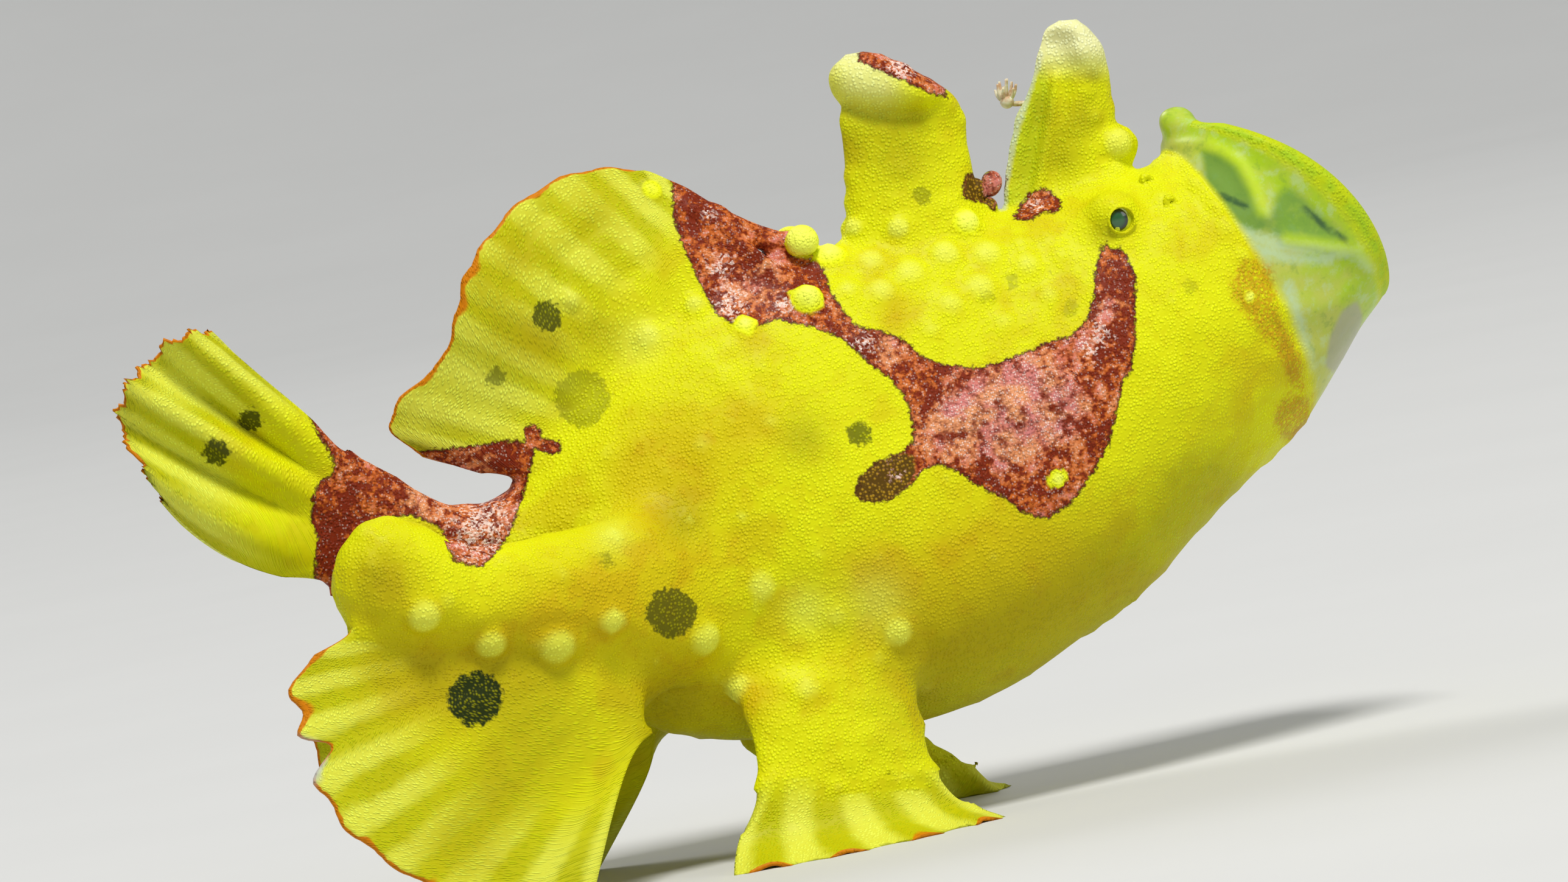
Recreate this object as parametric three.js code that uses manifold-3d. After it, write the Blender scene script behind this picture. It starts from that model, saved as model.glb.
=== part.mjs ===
// Warty frogfish, life size, yawning and standing on its fins, as a still museum model.
// Millimetres, +Z up, the head towards +X, the animal's right side towards -Y.
// The fish is laid out in its own frame, where it climbs as if on a slope, and is turned nose down at the end,
// so that its four fins stand on one level floor.
import * as THREE from "three";
import { mergeVertices } from "three/addons/utils/BufferGeometryUtils.js";
import Module from "manifold-3d";

const wasm = await Module();
wasm.setup();
const { Manifold, Mesh: ManifoldMesh } = wasm;

// Driving dimensions, in millimetres and degrees.
const NOSE_DOWN = 11; // turn from the climbing pose to the level floor
const FLOOR = -29; // height of the floor after that turn
const GAP = 0.3; // between touching pieces
const TRIM = 0.04; // detail smaller than this is left out of the faceted solids
const BODY_STATIONS = 38;
const BODY_SIDES = 24;
const CHEEK_WALL = 2.4; // flesh between the outer skin and the mouth cavity
const LIP_HALF = 1.15;
const MEMBRANE = 0.9; // wall of the stretched mouth tube
const LIP_BOW = 3.4; // how far the sides of the lips stand ahead of their top and bottom
const EYE_RADIUS = 2.7;
const DORSAL_RAYS = 12;
const TAIL_RAYS = 9;
const ANAL_RAYS = 7;
const HAND_RAYS = 10;
const FOOT_RAYS = 5;

const SKIN = { color: 0xe8dc10, roughness: 0.55, metalness: 0 };
const FIN = { color: 0xdcd81c, roughness: 0.5, metalness: 0 };
const MOUTH = { color: 0xb9d64a, roughness: 0.4, metalness: 0 };
const EYE = { color: 0x10240f, roughness: 0.15, metalness: 0 };
const LURE = { color: 0xe9ead0, roughness: 0.6, metalness: 0 };

const V = (x, y, z) => new THREE.Vector3(x, y, z);
const mix = (a, b, t) => a + (b - a) * t;
const radians = (degrees) => (degrees * Math.PI) / 180;
const smooth = (a, b, x) => {
  const t = Math.min(1, Math.max(0, (x - a) / (b - a)));
  return t * t * (3 - 2 * t);
};

// A smooth curve through points, as a function of 0..1 with the points evenly spread over it.
function curveThrough(points) {
  const curve = new THREE.CatmullRomCurve3(points, false, "catmullrom", 0.5);
  return (t) => curve.getPoint(Math.min(1, Math.max(0, t)));
}

// Rows of numbers turned into one smooth function of 0..1 that returns a row.
function rowsThrough(rows) {
  const width = rows[0].length;
  const curves = [];
  for (let i = 0; i < width; i += 3) {
    curves.push(curveThrough(rows.map((r) => V(r[i], r[i + 1] ?? 0, r[i + 2] ?? 0))));
  }
  return (t) => curves.flatMap((c) => c(t).toArray()).slice(0, width);
}

function solidFrom(positions, triangles) {
  const geometry = new THREE.BufferGeometry();
  geometry.setAttribute("position", new THREE.Float32BufferAttribute(positions, 3));
  geometry.setIndex(triangles);
  const merged = mergeVertices(geometry, 1e-4);
  const mesh = new ManifoldMesh({
    numProp: 3,
    vertProperties: new Float32Array(merged.attributes.position.array),
    triVerts: new Uint32Array(merged.index.array),
  });
  const solid = new Manifold(mesh);
  if (solid.volume() > 0) {
    return solid;
  }
  const turned = triangles.slice();
  for (let i = 0; i < turned.length; i += 3) {
    [turned[i + 1], turned[i + 2]] = [turned[i + 2], turned[i + 1]];
  }
  return solidFrom(positions, turned);
}

// Rings of equal length joined one to the next. Open ends are closed on their middle point, or the last ring meets the first.
function solidOfRings(rings, endless = false) {
  const sides = rings[0].length;
  const positions = rings.flat().flatMap((p) => p.toArray());
  const triangles = [];
  const steps = endless ? rings.length : rings.length - 1;
  for (let i = 0; i < steps; i += 1) {
    const next = (i + 1) % rings.length;
    for (let j = 0; j < sides; j += 1) {
      const k = (j + 1) % sides;
      const [a, b, c, d] = [i * sides + j, i * sides + k, next * sides + j, next * sides + k];
      triangles.push(a, b, d, a, d, c);
    }
  }
  if (!endless) {
    for (const [ring, first] of [[0, true], [rings.length - 1, false]]) {
      const middle = positions.length / 3;
      const sum = rings[ring].reduce((s, p) => s.add(p), V(0, 0, 0)).divideScalar(sides);
      positions.push(...sum.toArray());
      for (let j = 0; j < sides; j += 1) {
        const [a, b] = [ring * sides + j, ring * sides + ((j + 1) % sides)];
        triangles.push(...(first ? [b, a, middle] : [a, b, middle]));
      }
    }
  }
  return solidFrom(positions, triangles);
}

// One ring of a flattened form: it runs from a low to a high point of the middle plane and stands out to both sides.
// thickness(f) is the half thickness at the share f of the way up, apart from the rounding at both edges.
function ringBetween({ low, high, side = 0, thickness, sides, grow = 0, bow = 0 }) {
  const up = high.clone().sub(low);
  const half = up.length() / 2 + grow;
  up.normalize();
  const ahead = V(up.z, 0, -up.x);
  const centre = low.clone().add(high).multiplyScalar(0.5);
  return Array.from({ length: sides }, (_, j) => {
    const angle = (2 * Math.PI * j) / sides;
    const rise = Math.cos(angle);
    const out = Math.sin(angle);
    const reach = thickness((1 + rise) / 2) + grow;
    return centre
      .clone()
      .addScaledVector(up, half * rise)
      .addScaledVector(ahead, bow * out * out)
      .add(V(0, side + out * reach, 0));
  });
}

// Body: the profile of the back and of the belly, and the half width, from the tail root to the mouth.
// The ridge share says how far the widest line lies below the middle.
const BODY = rowsThrough([
  // back x, z, belly x, z, half width, lowness of the widest line
  [-46.2, 10.2, -47.6, -5.0, 1.0, 0],
  [-41.0, 7.5, -43.5, -4.6, 2.0, 0],
  [-36.0, 4.6, -38.5, -3.8, 2.9, 0],
  [-31.7, 4.3, -33.5, -5.0, 3.8, 0],
  [-27.4, 6.8, -28.0, -9.4, 5.4, 0.05],
  [-23.6, 12.0, -21.7, -13.8, 7.4, 0.1],
  [-17.5, 19.3, -14.9, -17.4, 9.3, 0.14],
  [-10.8, 24.6, -8.1, -18.9, 10.7, 0.16],
  [-4.0, 27.6, -0.6, -18.9, 11.7, 0.18],
  [3.7, 29.6, 7.5, -18.3, 12.5, 0.2],
  [11.2, 31.0, 14.9, -16.8, 13.1, 0.2],
  [18.6, 32.6, 22.4, -13.8, 13.4, 0.18],
  [24.8, 34.2, 29.2, -9.3, 13.4, 0.15],
  [30.4, 36.2, 36.0, -4.5, 13.2, 0.1],
  [35.0, 37.6, 41.9, 1.8, 12.6, 0.06],
  [37.6, 38.4, 48.0, 7.6, 11.8, 0.03],
  [38.6, 39.4, 52.8, 12.0, 11.2, 0],
]);

// Swellings and hollows of the flanks: x, z, radius, height.
const SWELLINGS = [
  [29.8, 35.6, 3.6, 1.5], // brow over the eye
  [41.5, 22, 8, 0.7], // cheek behind the mouth
  [21, 26, 6, -0.9], // hollow behind the eye
  [-3, 6, 11, 0.8], // shoulder of the arm
  [13, -7, 8, 0.6], // side of the belly
  [10, 17, 7, -0.4], // hollow of the flank
];
function swelling(x, z) {
  return SWELLINGS.reduce((sum, [cx, cz, r, h]) => sum + h * Math.exp(-((x - cx) ** 2 + (z - cz) ** 2) / (r * r)), 0);
}

function bodyReach(t, f) {
  const [backX, backZ, bellyX, bellyZ, half, lowness] = BODY(t);
  const round = Math.sqrt(Math.max(0, 4 * f * (1 - f)));
  const added = swelling(mix(bellyX, backX, f), mix(bellyZ, backZ, f)) * smooth(0, 0.5, round);
  return half * (1 - lowness * (2 * f - 1)) + added;
}

function bodyRing(t, grow = 0, sides = BODY_SIDES) {
  const [backX, backZ, bellyX, bellyZ] = BODY(t);
  return ringBetween({
    low: V(bellyX, 0, bellyZ),
    high: V(backX, 0, backZ),
    thickness: (f) => bodyReach(t, f),
    sides,
    grow,
  });
}

// The mouth cavity is a bowl: rings shrink from just inside the mouth's edge to the throat.
const THROAT = V(25, 0, 15);
function cavityRing(q) {
  const [backX, backZ, bellyX, bellyZ, half] = BODY(1);
  const high = V(backX, 0, backZ);
  const low = V(bellyX, 0, bellyZ);
  const wide = Math.sqrt(1 - q * q);
  const middle = high.clone().add(low).multiplyScalar(0.5);
  const up = high.clone().sub(low);
  const reach = (up.length() / 2 - CHEEK_WALL) * wide;
  up.normalize();
  const centre = middle.clone().lerp(THROAT, q);
  return ringBetween({
    low: centre.clone().addScaledVector(up, -reach),
    high: centre.clone().addScaledVector(up, reach),
    thickness: () => (half - CHEEK_WALL) * wide,
    sides: BODY_SIDES,
  });
}

function bodySolid() {
  const rings = [];
  for (let i = 0; i < BODY_STATIONS; i += 1) {
    rings.push(bodyRing(i / (BODY_STATIONS - 1)));
  }
  for (let i = 0; i < 9; i += 1) {
    rings.push(cavityRing(Math.sin((Math.PI / 2) * (i / 9.4))));
  }
  return solidOfRings(rings);
}

// The body one gap larger and without its cavity, which trims whatever grows from it.
function bodyGrown(grow = GAP) {
  const rings = [bodyRing(0, grow).map((p) => p.add(V(-grow, 0, 0)))];
  for (let i = 0; i < BODY_STATIONS; i += 1) {
    rings.push(bodyRing(i / (BODY_STATIONS - 1), grow));
  }
  return solidOfRings(rings);
}

// Mouth tube: a closed wall from the cheeks to the lips, thick along the lips and at the jaws.
const UPPER_LIP = V(39.6, 0, 42.4);
const LOWER_LIP = V(60.6, 0, 25.0);
function mouthTube() {
  const [backX, backZ, bellyX, bellyZ, half] = BODY(1);
  const ahead = V(0.85, 0, 0.52);
  const base = { high: V(backX, 0, backZ), low: V(bellyX, 0, bellyZ) };
  const ring = (t, inset, push) => {
    const high = base.high.clone().lerp(UPPER_LIP, t).addScaledVector(ahead, push);
    const low = base.low.clone().lerp(LOWER_LIP, t).addScaledVector(ahead, push);
    return ringBetween({
      low,
      high,
      thickness: () => mix(half, half - 0.6, t) - inset,
      sides: 40,
      grow: -inset,
      bow: LIP_BOW * t * t,
    });
  };
  const wall = (t) => mix(MEMBRANE + 0.5, MEMBRANE, smooth(0, 0.4, t));
  const rings = [ring(0, 0.1, GAP), ring(0.35, 0, 0), ring(0.7, 0, 0), ring(0.9, -0.15, 0)];
  for (let i = 0; i <= 4; i += 1) {
    const turn = (Math.PI * i) / 4;
    const inset = LIP_HALF * (1 - Math.cos(turn)) - 0.35;
    rings.push(ring(1, inset, LIP_HALF * Math.sin(turn)));
  }
  rings.push(ring(0.9, 1.5, 0), ring(0.7, wall(0.7), 0), ring(0.35, wall(0.35), 0), ring(0, wall(0), GAP));
  return solidOfRings(rings, true);
}

// Fleshy spine of the head: rings across it from root to tip, thin at the back where it is only skin.
function spine(rows, stations, sides, thickness, grow = 0) {
  const at = rowsThrough(rows);
  const rings = [];
  for (let i = 0; i < stations; i += 1) {
    const t = i / (stations - 1);
    const [rearX, rearZ, frontX, frontZ, half] = at(t);
    rings.push(
      ringBetween({
        low: V(rearX, 0, rearZ),
        high: V(frontX, 0, frontZ),
        thickness: (f) => thickness(f, half, t),
        sides,
        grow,
      }),
    );
  }
  return solidOfRings(rings);
}

const THIRD_SPINE = [
  // rear x, z, front x, z, half thickness
  [4.2, 26, 22.4, 27, 5.4],
  [5.2, 30.4, 20.8, 32.4, 4.3],
  [5.6, 34, 19.0, 36.2, 3.3],
  [5.5, 38, 18.1, 39.8, 2.7],
  [5.0, 42, 17.8, 42.4, 2.7],
  [4.3, 45.2, 16.4, 44.9, 3.1],
  [4.3, 47.2, 12.6, 47.2, 2.7],
  [5.6, 48.8, 9.2, 48.9, 1.5],
];
const SECOND_SPINE = [
  [22.6, 30, 34, 32.6, 3.2],
  [21.8, 34.2, 35.2, 38.0, 2.6],
  [22.2, 37.8, 34.2, 40.8, 2.1],
  [23.4, 42.6, 33.3, 43.6, 1.9],
  [24.8, 46.4, 32.9, 46.2, 2.0],
  [25.6, 49.4, 32.2, 49.2, 2.5],
  [26.2, 51.4, 30.9, 51.3, 2.1],
  [27.6, 52.4, 29.4, 52.4, 0.9],
];
const thirdSpine = () => spine(THIRD_SPINE, 15, 18, (f, half) => half * mix(0.8, 1.05, f));
const secondSpine = () =>
  spine(SECOND_SPINE, 15, 20, (f, half, t) =>
    mix(mix(0.45, half * 0.8, smooth(0.75, 0.95, t)), half, smooth(0.15, 0.62, f)),
  );

// A fin: rays run from the root line to the margin line. The membrane thins outwards, and each ray is a ridge in its surface.
// The margin draws back between the rays by the scallop, and more where the membrane is torn.
function fin({ root, margin, rays, perRay = 2, rows, rootHalf, edgeHalf, ridge, scallop = 0, torn = () => 0, bend, thicken = () => 0 }) {
  const rootAt = curveThrough(root);
  const marginAt = curveThrough(margin);
  const columns = (rays - 1) * perRay;
  const onRay = (u) => Math.cos(Math.PI * (rays - 1) * u) ** 2;
  const middle = (u, v) => {
    const start = rootAt(u);
    const reach = marginAt(u).sub(start);
    const back = (scallop + torn(u)) * (1 - onRay(u)) + 0.35 * torn(u);
    const share = v * (1 - (back * v) / reach.length());
    return start.addScaledVector(reach, share).add(bend(u, v));
  };
  const half = (u, v) =>
    edgeHalf + (rootHalf - edgeHalf) * (1 - v) ** 1.5 + ridge * onRay(u) * smooth(0, 0.4, v) * (1.1 - v) + thicken(u, v);
  const STEP = 0.01;
  const normal = (u, v) => {
    const along = middle(Math.min(1, u + STEP), v).sub(middle(Math.max(0, u - STEP), v));
    const out = middle(u, Math.min(1, v + STEP)).sub(middle(u, Math.max(0, v - STEP)));
    return along.cross(out).normalize();
  };
  const faces = [1, -1].map((face) => {
    const points = [];
    for (let i = 0; i <= columns; i += 1) {
      for (let j = 0; j <= rows; j += 1) {
        const [u, v] = [i / columns, j / rows];
        points.push(middle(u, v).addScaledVector(normal(u, v), face * half(u, v)));
      }
    }
    return points;
  });
  const positions = faces.flat().flatMap((p) => p.toArray());
  const count = faces[0].length;
  const at = (i, j) => i * (rows + 1) + j;
  const triangles = [];
  for (let i = 0; i < columns; i += 1) {
    for (let j = 0; j < rows; j += 1) {
      const [a, b, c, d] = [at(i, j), at(i + 1, j), at(i + 1, j + 1), at(i, j + 1)];
      for (const [p, q, r] of [[a, b, c], [a, c, d]]) {
        triangles.push(p, q, r, p + count, r + count, q + count);
      }
    }
  }
  const border = [];
  for (let i = 0; i < columns; i += 1) {
    border.push([at(i + 1, 0), at(i, 0)], [at(i, rows), at(i + 1, rows)]);
  }
  for (let j = 0; j < rows; j += 1) {
    border.push([at(0, j), at(0, j + 1)], [at(columns, j + 1), at(columns, j)]);
  }
  for (const [a, b] of border) {
    triangles.push(a, b, b + count, a, b + count, a + count);
  }
  return solidFrom(positions, triangles);
}

const dorsalFin = () =>
  fin({
    root: [V(0, 0, 26), V(-5, 0, 24), V(-10, 0, 20.5), V(-14, 0, 16), V(-17, 0, 12), V(-20, 0, 8.5), V(-23, 0, 5)],
    margin: [
      V(-10.2, 0, 35.8),
      V(-13.6, 0, 37.2),
      V(-18.6, 0, 37.6),
      V(-23.4, 0, 36.6),
      V(-28.4, 0, 33.7),
      V(-32.0, 0, 29.8),
      V(-34.0, 0, 26.4),
      V(-34.8, 0, 22.4),
      V(-36.0, 0, 18.4),
      V(-39.6, 0, 14.8),
      V(-40.4, 0, 11.6),
      V(-37.0, 0, 9.0),
    ],
    rays: DORSAL_RAYS,
    rows: 8,
    rootHalf: 3.6,
    edgeHalf: 0.32,
    ridge: 0.3,
    scallop: 0.4,
    bend: (u, v) => V(0, 1.7 * Math.sin(2 * Math.PI * 1.25 * u + 0.4) * smooth(0.25, 1, v), 0),
    thicken: (u, v) => 1.7 * Math.exp(-((u / 0.07) ** 2)) * (1 - 0.45 * v),
  });

const tailFin = () =>
  fin({
    root: [V(-44.6, 0, 8.9), V(-45.4, 0, 5.2), V(-46.0, 0, 1.6), V(-46.6, 0, -3.6)],
    margin: [
      V(-59.3, 0, 21.5),
      V(-61.8, 0, 21.6),
      V(-64.2, 0, 20.4),
      V(-66.4, 0, 18.0),
      V(-68.4, 0, 16.4),
      V(-68.8, 0, 13.6),
      V(-68.0, 0, 10.4),
      V(-66.2, 0, 7.4),
      V(-64.0, 0, 4.8),
    ],
    rays: TAIL_RAYS,
    rows: 8,
    rootHalf: 1.1,
    edgeHalf: 0.32,
    ridge: 0.4,
    scallop: 0.7,
    bend: (u, v) => {
      const belly = 1.7 * Math.sin(Math.PI * v) * smooth(0.55, 1, u);
      const fold = 0.85 * Math.cos(2 * Math.PI * 3.5 * u) * smooth(0.05, 0.7, v) * (1 - 0.35 * v);
      return V(-0.5 * belly, fold - 2.2 * v * v, -belly);
    },
  });

const analFin = () =>
  fin({
    root: [V(-17.5, 0, -12.5), V(-22, 0, -10.5), V(-27, 0, -6.5), V(-31, 0, -3.6)],
    margin: [V(-27, 0, -17.6), V(-32, 0, -17), V(-37, 0, -14.8), V(-40.4, 0, -11.6), V(-41.4, 0, -8.6), V(-39.6, 0, -6.2)],
    rays: ANAL_RAYS,
    rows: 6,
    rootHalf: 2,
    edgeHalf: 0.35,
    ridge: 0.3,
    scallop: 0.4,
    bend: (u, v) => V(0, 0.7 * Math.sin(6 * u) * v, 0),
  });

// A limb: rings across a bent centre line. Each row is centre x, y, z, half height, half thickness.
function limb(rows, stations, sides, grow = 0) {
  const at = rowsThrough(rows);
  const rings = [];
  for (let i = 0; i < stations; i += 1) {
    const t = i / (stations - 1);
    const [x, y, z, halfUp, halfOut] = at(t);
    const [beforeX, beforeY] = at(t - 0.02);
    const [afterX, afterY] = at(t + 0.02);
    const along = V(afterX - beforeX, afterY - beforeY, 0).normalize();
    const out = V(-along.y, along.x, 0);
    rings.push(
      Array.from({ length: sides }, (_, j) => {
        const angle = (2 * Math.PI * j) / sides;
        return V(x, y, z)
          .add(V(0, 0, (halfUp + grow) * Math.cos(angle)))
          .addScaledVector(out, (halfOut + grow) * Math.sin(angle));
      }),
    );
  }
  return solidOfRings(rings);
}

// The pectoral arm ends in a blunt elbow that points back. It is written for the right side, where y is negative.
const ARM = [
  [-3, -4.0, -4.5, 9.0, 3.4],
  [-13, -8.0, -4.4, 8.8, 4.4],
  [-23, -11.2, -4.7, 7.2, 4.5],
  [-31, -12.8, -5.0, 5.8, 4.2],
  [-36.6, -13.5, -4.9, 5.3, 4.0],
  [-41.4, -14.0, -3.8, 6.4, 4.1],
  [-45.6, -14.2, -3.2, 6.1, 3.6],
  [-48.4, -14.2, -3.2, 4.0, 2.4],
  [-49.6, -14.2, -3.3, 1.2, 0.8],
];

// The hand fans out from under the arm, back and down to the floor.
const HAND_ROOT = [V(-33.5, -12.8, -6), V(-29, -12.2, -8), V(-25, -11.8, -9.5), V(-21.5, -11.2, -11.5), V(-18, -10.6, -13)];
const HAND_MARGIN = [
  V(-47.6, -15.4, -7.2),
  V(-51.6, -16.6, -9.8),
  V(-54.6, -17.4, -13.4),
  V(-54.6, -18.0, -18.0),
  V(-53.0, -18.4, -22.6),
  V(-49.6, -18.8, -27.0),
  V(-45.0, -19.4, -30.6),
  V(-39.6, -20.2, -33.6),
  V(-33.0, -21.2, -36.0),
  V(-25.6, -21.2, -35.0),
];
const hand = (tornDepth) =>
  fin({
    torn: (u) => tornDepth * Math.exp(-(((u - 0.37) / 0.085) ** 2)),
    root: HAND_ROOT,
    margin: HAND_MARGIN,
    rays: HAND_RAYS,
    rows: 9,
    rootHalf: 2.3,
    edgeHalf: 0.34,
    ridge: 0.34,
    scallop: 0.7,
    bend: (u, v) => V(0, 1.3 * Math.sin(2 * Math.PI * 1.3 * u) * v * (1 - 0.3 * v), 0),
  });

// The pelvic leg and its toes. The step moves the foot forwards without moving its root.
function leg(step, grow = 0) {
  const rows = [
    // rear x, z, front x, z, half thickness, y of the middle
    [-4.5, -5, 12.0, -2.5, 4.2, -5.0],
    [-7.0, -11, 11.8, -8.5, 4.1, -7.6],
    [-8.0, -14.8, 10.2, -13.8, 3.4, -9.6],
    [-7.0, -18.4, 10.6, -18.0, 2.6, -11.4],
    [-7.4, -21.6, 11.6, -20.8, 2.0, -12.6],
    [-7.6, -24.0, 12.2, -23.0, 1.4, -13.3],
  ];
  const at = rowsThrough(rows);
  const stations = 11;
  const rings = [];
  for (let i = 0; i < stations; i += 1) {
    const t = i / (stations - 1);
    const [rearX, rearZ, frontX, frontZ, half, side] = at(t);
    const shift = step * t * t;
    rings.push(
      ringBetween({
        low: V(rearX + shift, 0, rearZ + shift * 0.1),
        high: V(frontX + shift, 0, frontZ + shift * 0.1),
        side,
        thickness: () => half,
        sides: 22,
        grow,
      }),
    );
  }
  return solidOfRings(rings);
}

function toes(step) {
  const rise = step * 0.19;
  return fin({
    root: [V(-6.8 + step, -13.2, -22.2), V(-1.5 + step, -13.2, -22), V(5 + step, -13.2, -21.8), V(11.4 + step, -13.2, -21.2)],
    margin: [
      V(-11.0 + step, -19.8, -32.2 + rise),
      V(-5.6 + step, -22.2, -31.4 + rise),
      V(0.8 + step, -23.2, -30.2 + rise),
      V(7.6 + step, -22.8, -28.9 + rise),
      V(13.6 + step, -21.0, -27.7 + rise),
      V(17.6 + step, -18.4, -26.6 + rise),
    ],
    rays: FOOT_RAYS,
    perRay: 4,
    rows: 8,
    rootHalf: 1.3,
    edgeHalf: 0.4,
    ridge: 0.35,
    scallop: 1.6,
    bend: (u, v) => V(0, 2.6 * Math.sin(Math.PI * v), -1.6 * Math.sin(Math.PI * v)),
  });
}

// Warts of the right side, with the same on the left: x, z of the skin there, radius, and how far they stand out.
const BODY_WARTS = [
  [0.9, 30.6, 1.5, 1.2],
  [4.6, 29.2, 1.4, 1.0],
  [0.5, 24.4, 1.6, 1.2],
  [-5.9, 22.1, 1.3, 0.6],
  [-15.5, 21.3, 1.4, 0.5],
  [-10.7, 24.4, 1.3, 0.6],
  [-5.5, -3.9, 1.5, 0.6],
  [-8.0, 3.1, 1.0, 0.4],
  [-13.0, 2.8, 1.0, 0.4],
  [7.5, -8.5, 1.8, 0.9],
  [2.4, 0.7, 1.2, 0.5],
  [23.4, 34.2, 1.3, 0.8],
  [26.2, 34.9, 1.2, 0.8],
  [24.9, 16.3, 1.3, 0.8],
  [19.9, 12.6, 1.4, 0.8],
  [23.7, 6.4, 1.2, 0.6],
  [7.1, 7.2, 1.2, 0.6],
  [27.2, 11.5, 0.9, 0.5],
  [14.6, -3.2, 1.1, 0.4],
  [44.0, 24.9, 1.1, 0.6],
];
// Warts that lie on other pieces: x, y, z, radius, height.
const ARM_WARTS = [
  [-40.9, -17.0, -6.7, 1.6, 0.7],
  [-34.1, -16.2, -8.2, 1.5, 0.7],
  [-27.2, -15.6, -8.0, 1.8, 0.8],
  [-21.5, -14.6, 0.6, 1.4, 0.5],
  [-20.4, -14.4, -7.4, 1.3, 0.5],
  [-37.1, -16.6, -1.4, 1.3, 0.8],
];

// A point of the body's skin on the side asked for, at x and z: the section is searched for the one that passes there.
function skinPoint(x, z, side) {
  let best = null;
  for (let i = 0; i <= 200; i += 1) {
    const [backX, backZ, bellyX, bellyZ] = BODY(i / 200);
    const up = V(backX - bellyX, 0, backZ - bellyZ);
    const f = V(x - bellyX, 0, z - bellyZ).dot(up) / up.lengthSq();
    const off = V(bellyX, 0, bellyZ).addScaledVector(up, f).distanceTo(V(x, 0, z));
    if (!best || off < best.off) {
      const rise = Math.min(0.999, Math.abs(2 * f - 1));
      best = { off, point: V(x, side * bodyReach(i / 200, f) * Math.sqrt(1 - rise * rise), z) };
    }
  }
  return best.point;
}

function dome(centre, radius, height) {
  const geometry = new THREE.SphereGeometry(1, 7, 5);
  geometry.scale(radius, height + 0.3, radius);
  geometry.translate(centre.x, centre.y, centre.z);
  return fromGeometry(geometry);
}

function fromGeometry(geometry) {
  const plain = geometry.clone();
  plain.deleteAttribute("normal");
  plain.deleteAttribute("uv");
  const merged = mergeVertices(plain, 1e-4);
  return solidFrom(Array.from(merged.attributes.position.array), Array.from(merged.index.array));
}

// Thin upright cuts across the whole width, along a line of the middle plane.
function cut(points, width = GAP) {
  const shape = new THREE.Shape();
  const line = points.map(([x, z]) => new THREE.Vector2(x, z));
  const sideways = line.map((p, i) => {
    const along = line[Math.min(i + 1, line.length - 1)].clone().sub(line[Math.max(i - 1, 0)]).normalize();
    return new THREE.Vector2(-along.y, along.x).multiplyScalar(width / 2);
  });
  const edge = [...line.map((p, i) => p.clone().add(sideways[i])), ...line.map((p, i) => p.clone().sub(sideways[i])).reverse()];
  shape.setFromPoints(edge);
  const geometry = new THREE.ExtrudeGeometry(shape, { depth: 120, bevelEnabled: false });
  geometry.rotateX(Math.PI / 2);
  geometry.translate(0, 60, 0);
  return fromGeometry(geometry);
}

const largest = (solid) => solid.decompose().sort((a, b) => b.volume() - a.volume())[0];
const middleOf = (solid) => {
  const { min, max } = solid.boundingBox();
  return V((min[0] + max[0]) / 2, (min[1] + max[1]) / 2, (min[2] + max[2]) / 2);
};
const mirrored = (solid) => solid.mirror([0, 1, 0]);

// A round rod or filament along points, tapering from one radius to another.
function rod(points, from, to, steps, sides = 8) {
  const at = curveThrough(points);
  const rings = [];
  for (let i = 0; i <= steps; i += 1) {
    const t = i / steps;
    const along = at(t + 0.02).sub(at(t - 0.02)).normalize();
    const side = V(0, 1, 0).cross(along).normalize();
    const up = along.clone().cross(side);
    const radius = mix(from, to, t);
    rings.push(
      Array.from({ length: sides }, (_, j) => {
        const angle = (2 * Math.PI * j) / sides;
        return at(t)
          .addScaledVector(side, radius * Math.cos(angle))
          .addScaledVector(up, radius * Math.sin(angle));
      }),
    );
  }
  return solidOfRings(rings);
}

const root = new THREE.Group();
root.rotation.y = radians(NOSE_DOWN);

// Everything under the floor is trimmed, so that the fins stand on small flats.
const floorBlock = (() => {
  const geometry = new THREE.BoxGeometry(300, 200, 40);
  geometry.translate(0, 0, FLOOR - 20);
  geometry.rotateY(-radians(NOSE_DOWN));
  return fromGeometry(geometry);
})();

function addNode(name, solid, look) {
  const kept = largest(largest(solid).simplify(TRIM));
  const mesh = kept.getMesh();
  const geometry = new THREE.BufferGeometry();
  geometry.setAttribute("position", new THREE.Float32BufferAttribute(mesh.vertProperties, 3));
  geometry.setIndex(Array.from(mesh.triVerts));
  const node = new THREE.Mesh(geometry, new THREE.MeshStandardMaterial(look));
  node.name = name;
  root.add(node);
}

// Body, with its warts, parted into head, trunk and tail stem.
let body = bodySolid();
let grownBody = bodyGrown();
for (const side of [-1, 1]) {
  for (const [x, z, radius, height] of BODY_WARTS) {
    const foot = skinPoint(x, z, side);
    body = body.add(dome(foot, radius, height));
    grownBody = grownBody.add(dome(foot, radius + GAP, height + GAP));
  }
}
const headCut = cut([[2.4, 44], [3.2, 20], [3.4, 0], [5.4, -30]]);
const tailCut = cut([[-29, 30], [-29, -30]]);
const bodyPieces = body
  .subtract(headCut)
  .subtract(tailCut)
  .decompose()
  .sort((a, b) => middleOf(b).x - middleOf(a).x);

const EYE_CENTRE = skinPoint(31.4, 32.4, -1).add(V(0, 1.4, 0));
const eyeBall = (radius) => {
  const geometry = new THREE.SphereGeometry(radius, 14, 10);
  geometry.translate(EYE_CENTRE.x, EYE_CENTRE.y, EYE_CENTRE.z);
  return fromGeometry(geometry);
};
const lidRing = (() => {
  const geometry = new THREE.TorusGeometry(EYE_RADIUS * 0.92, 0.75, 6, 18);
  geometry.rotateX(Math.PI / 2);
  geometry.translate(EYE_CENTRE.x, EYE_CENTRE.y - 1.5, EYE_CENTRE.z);
  return fromGeometry(geometry);
})();

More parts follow.
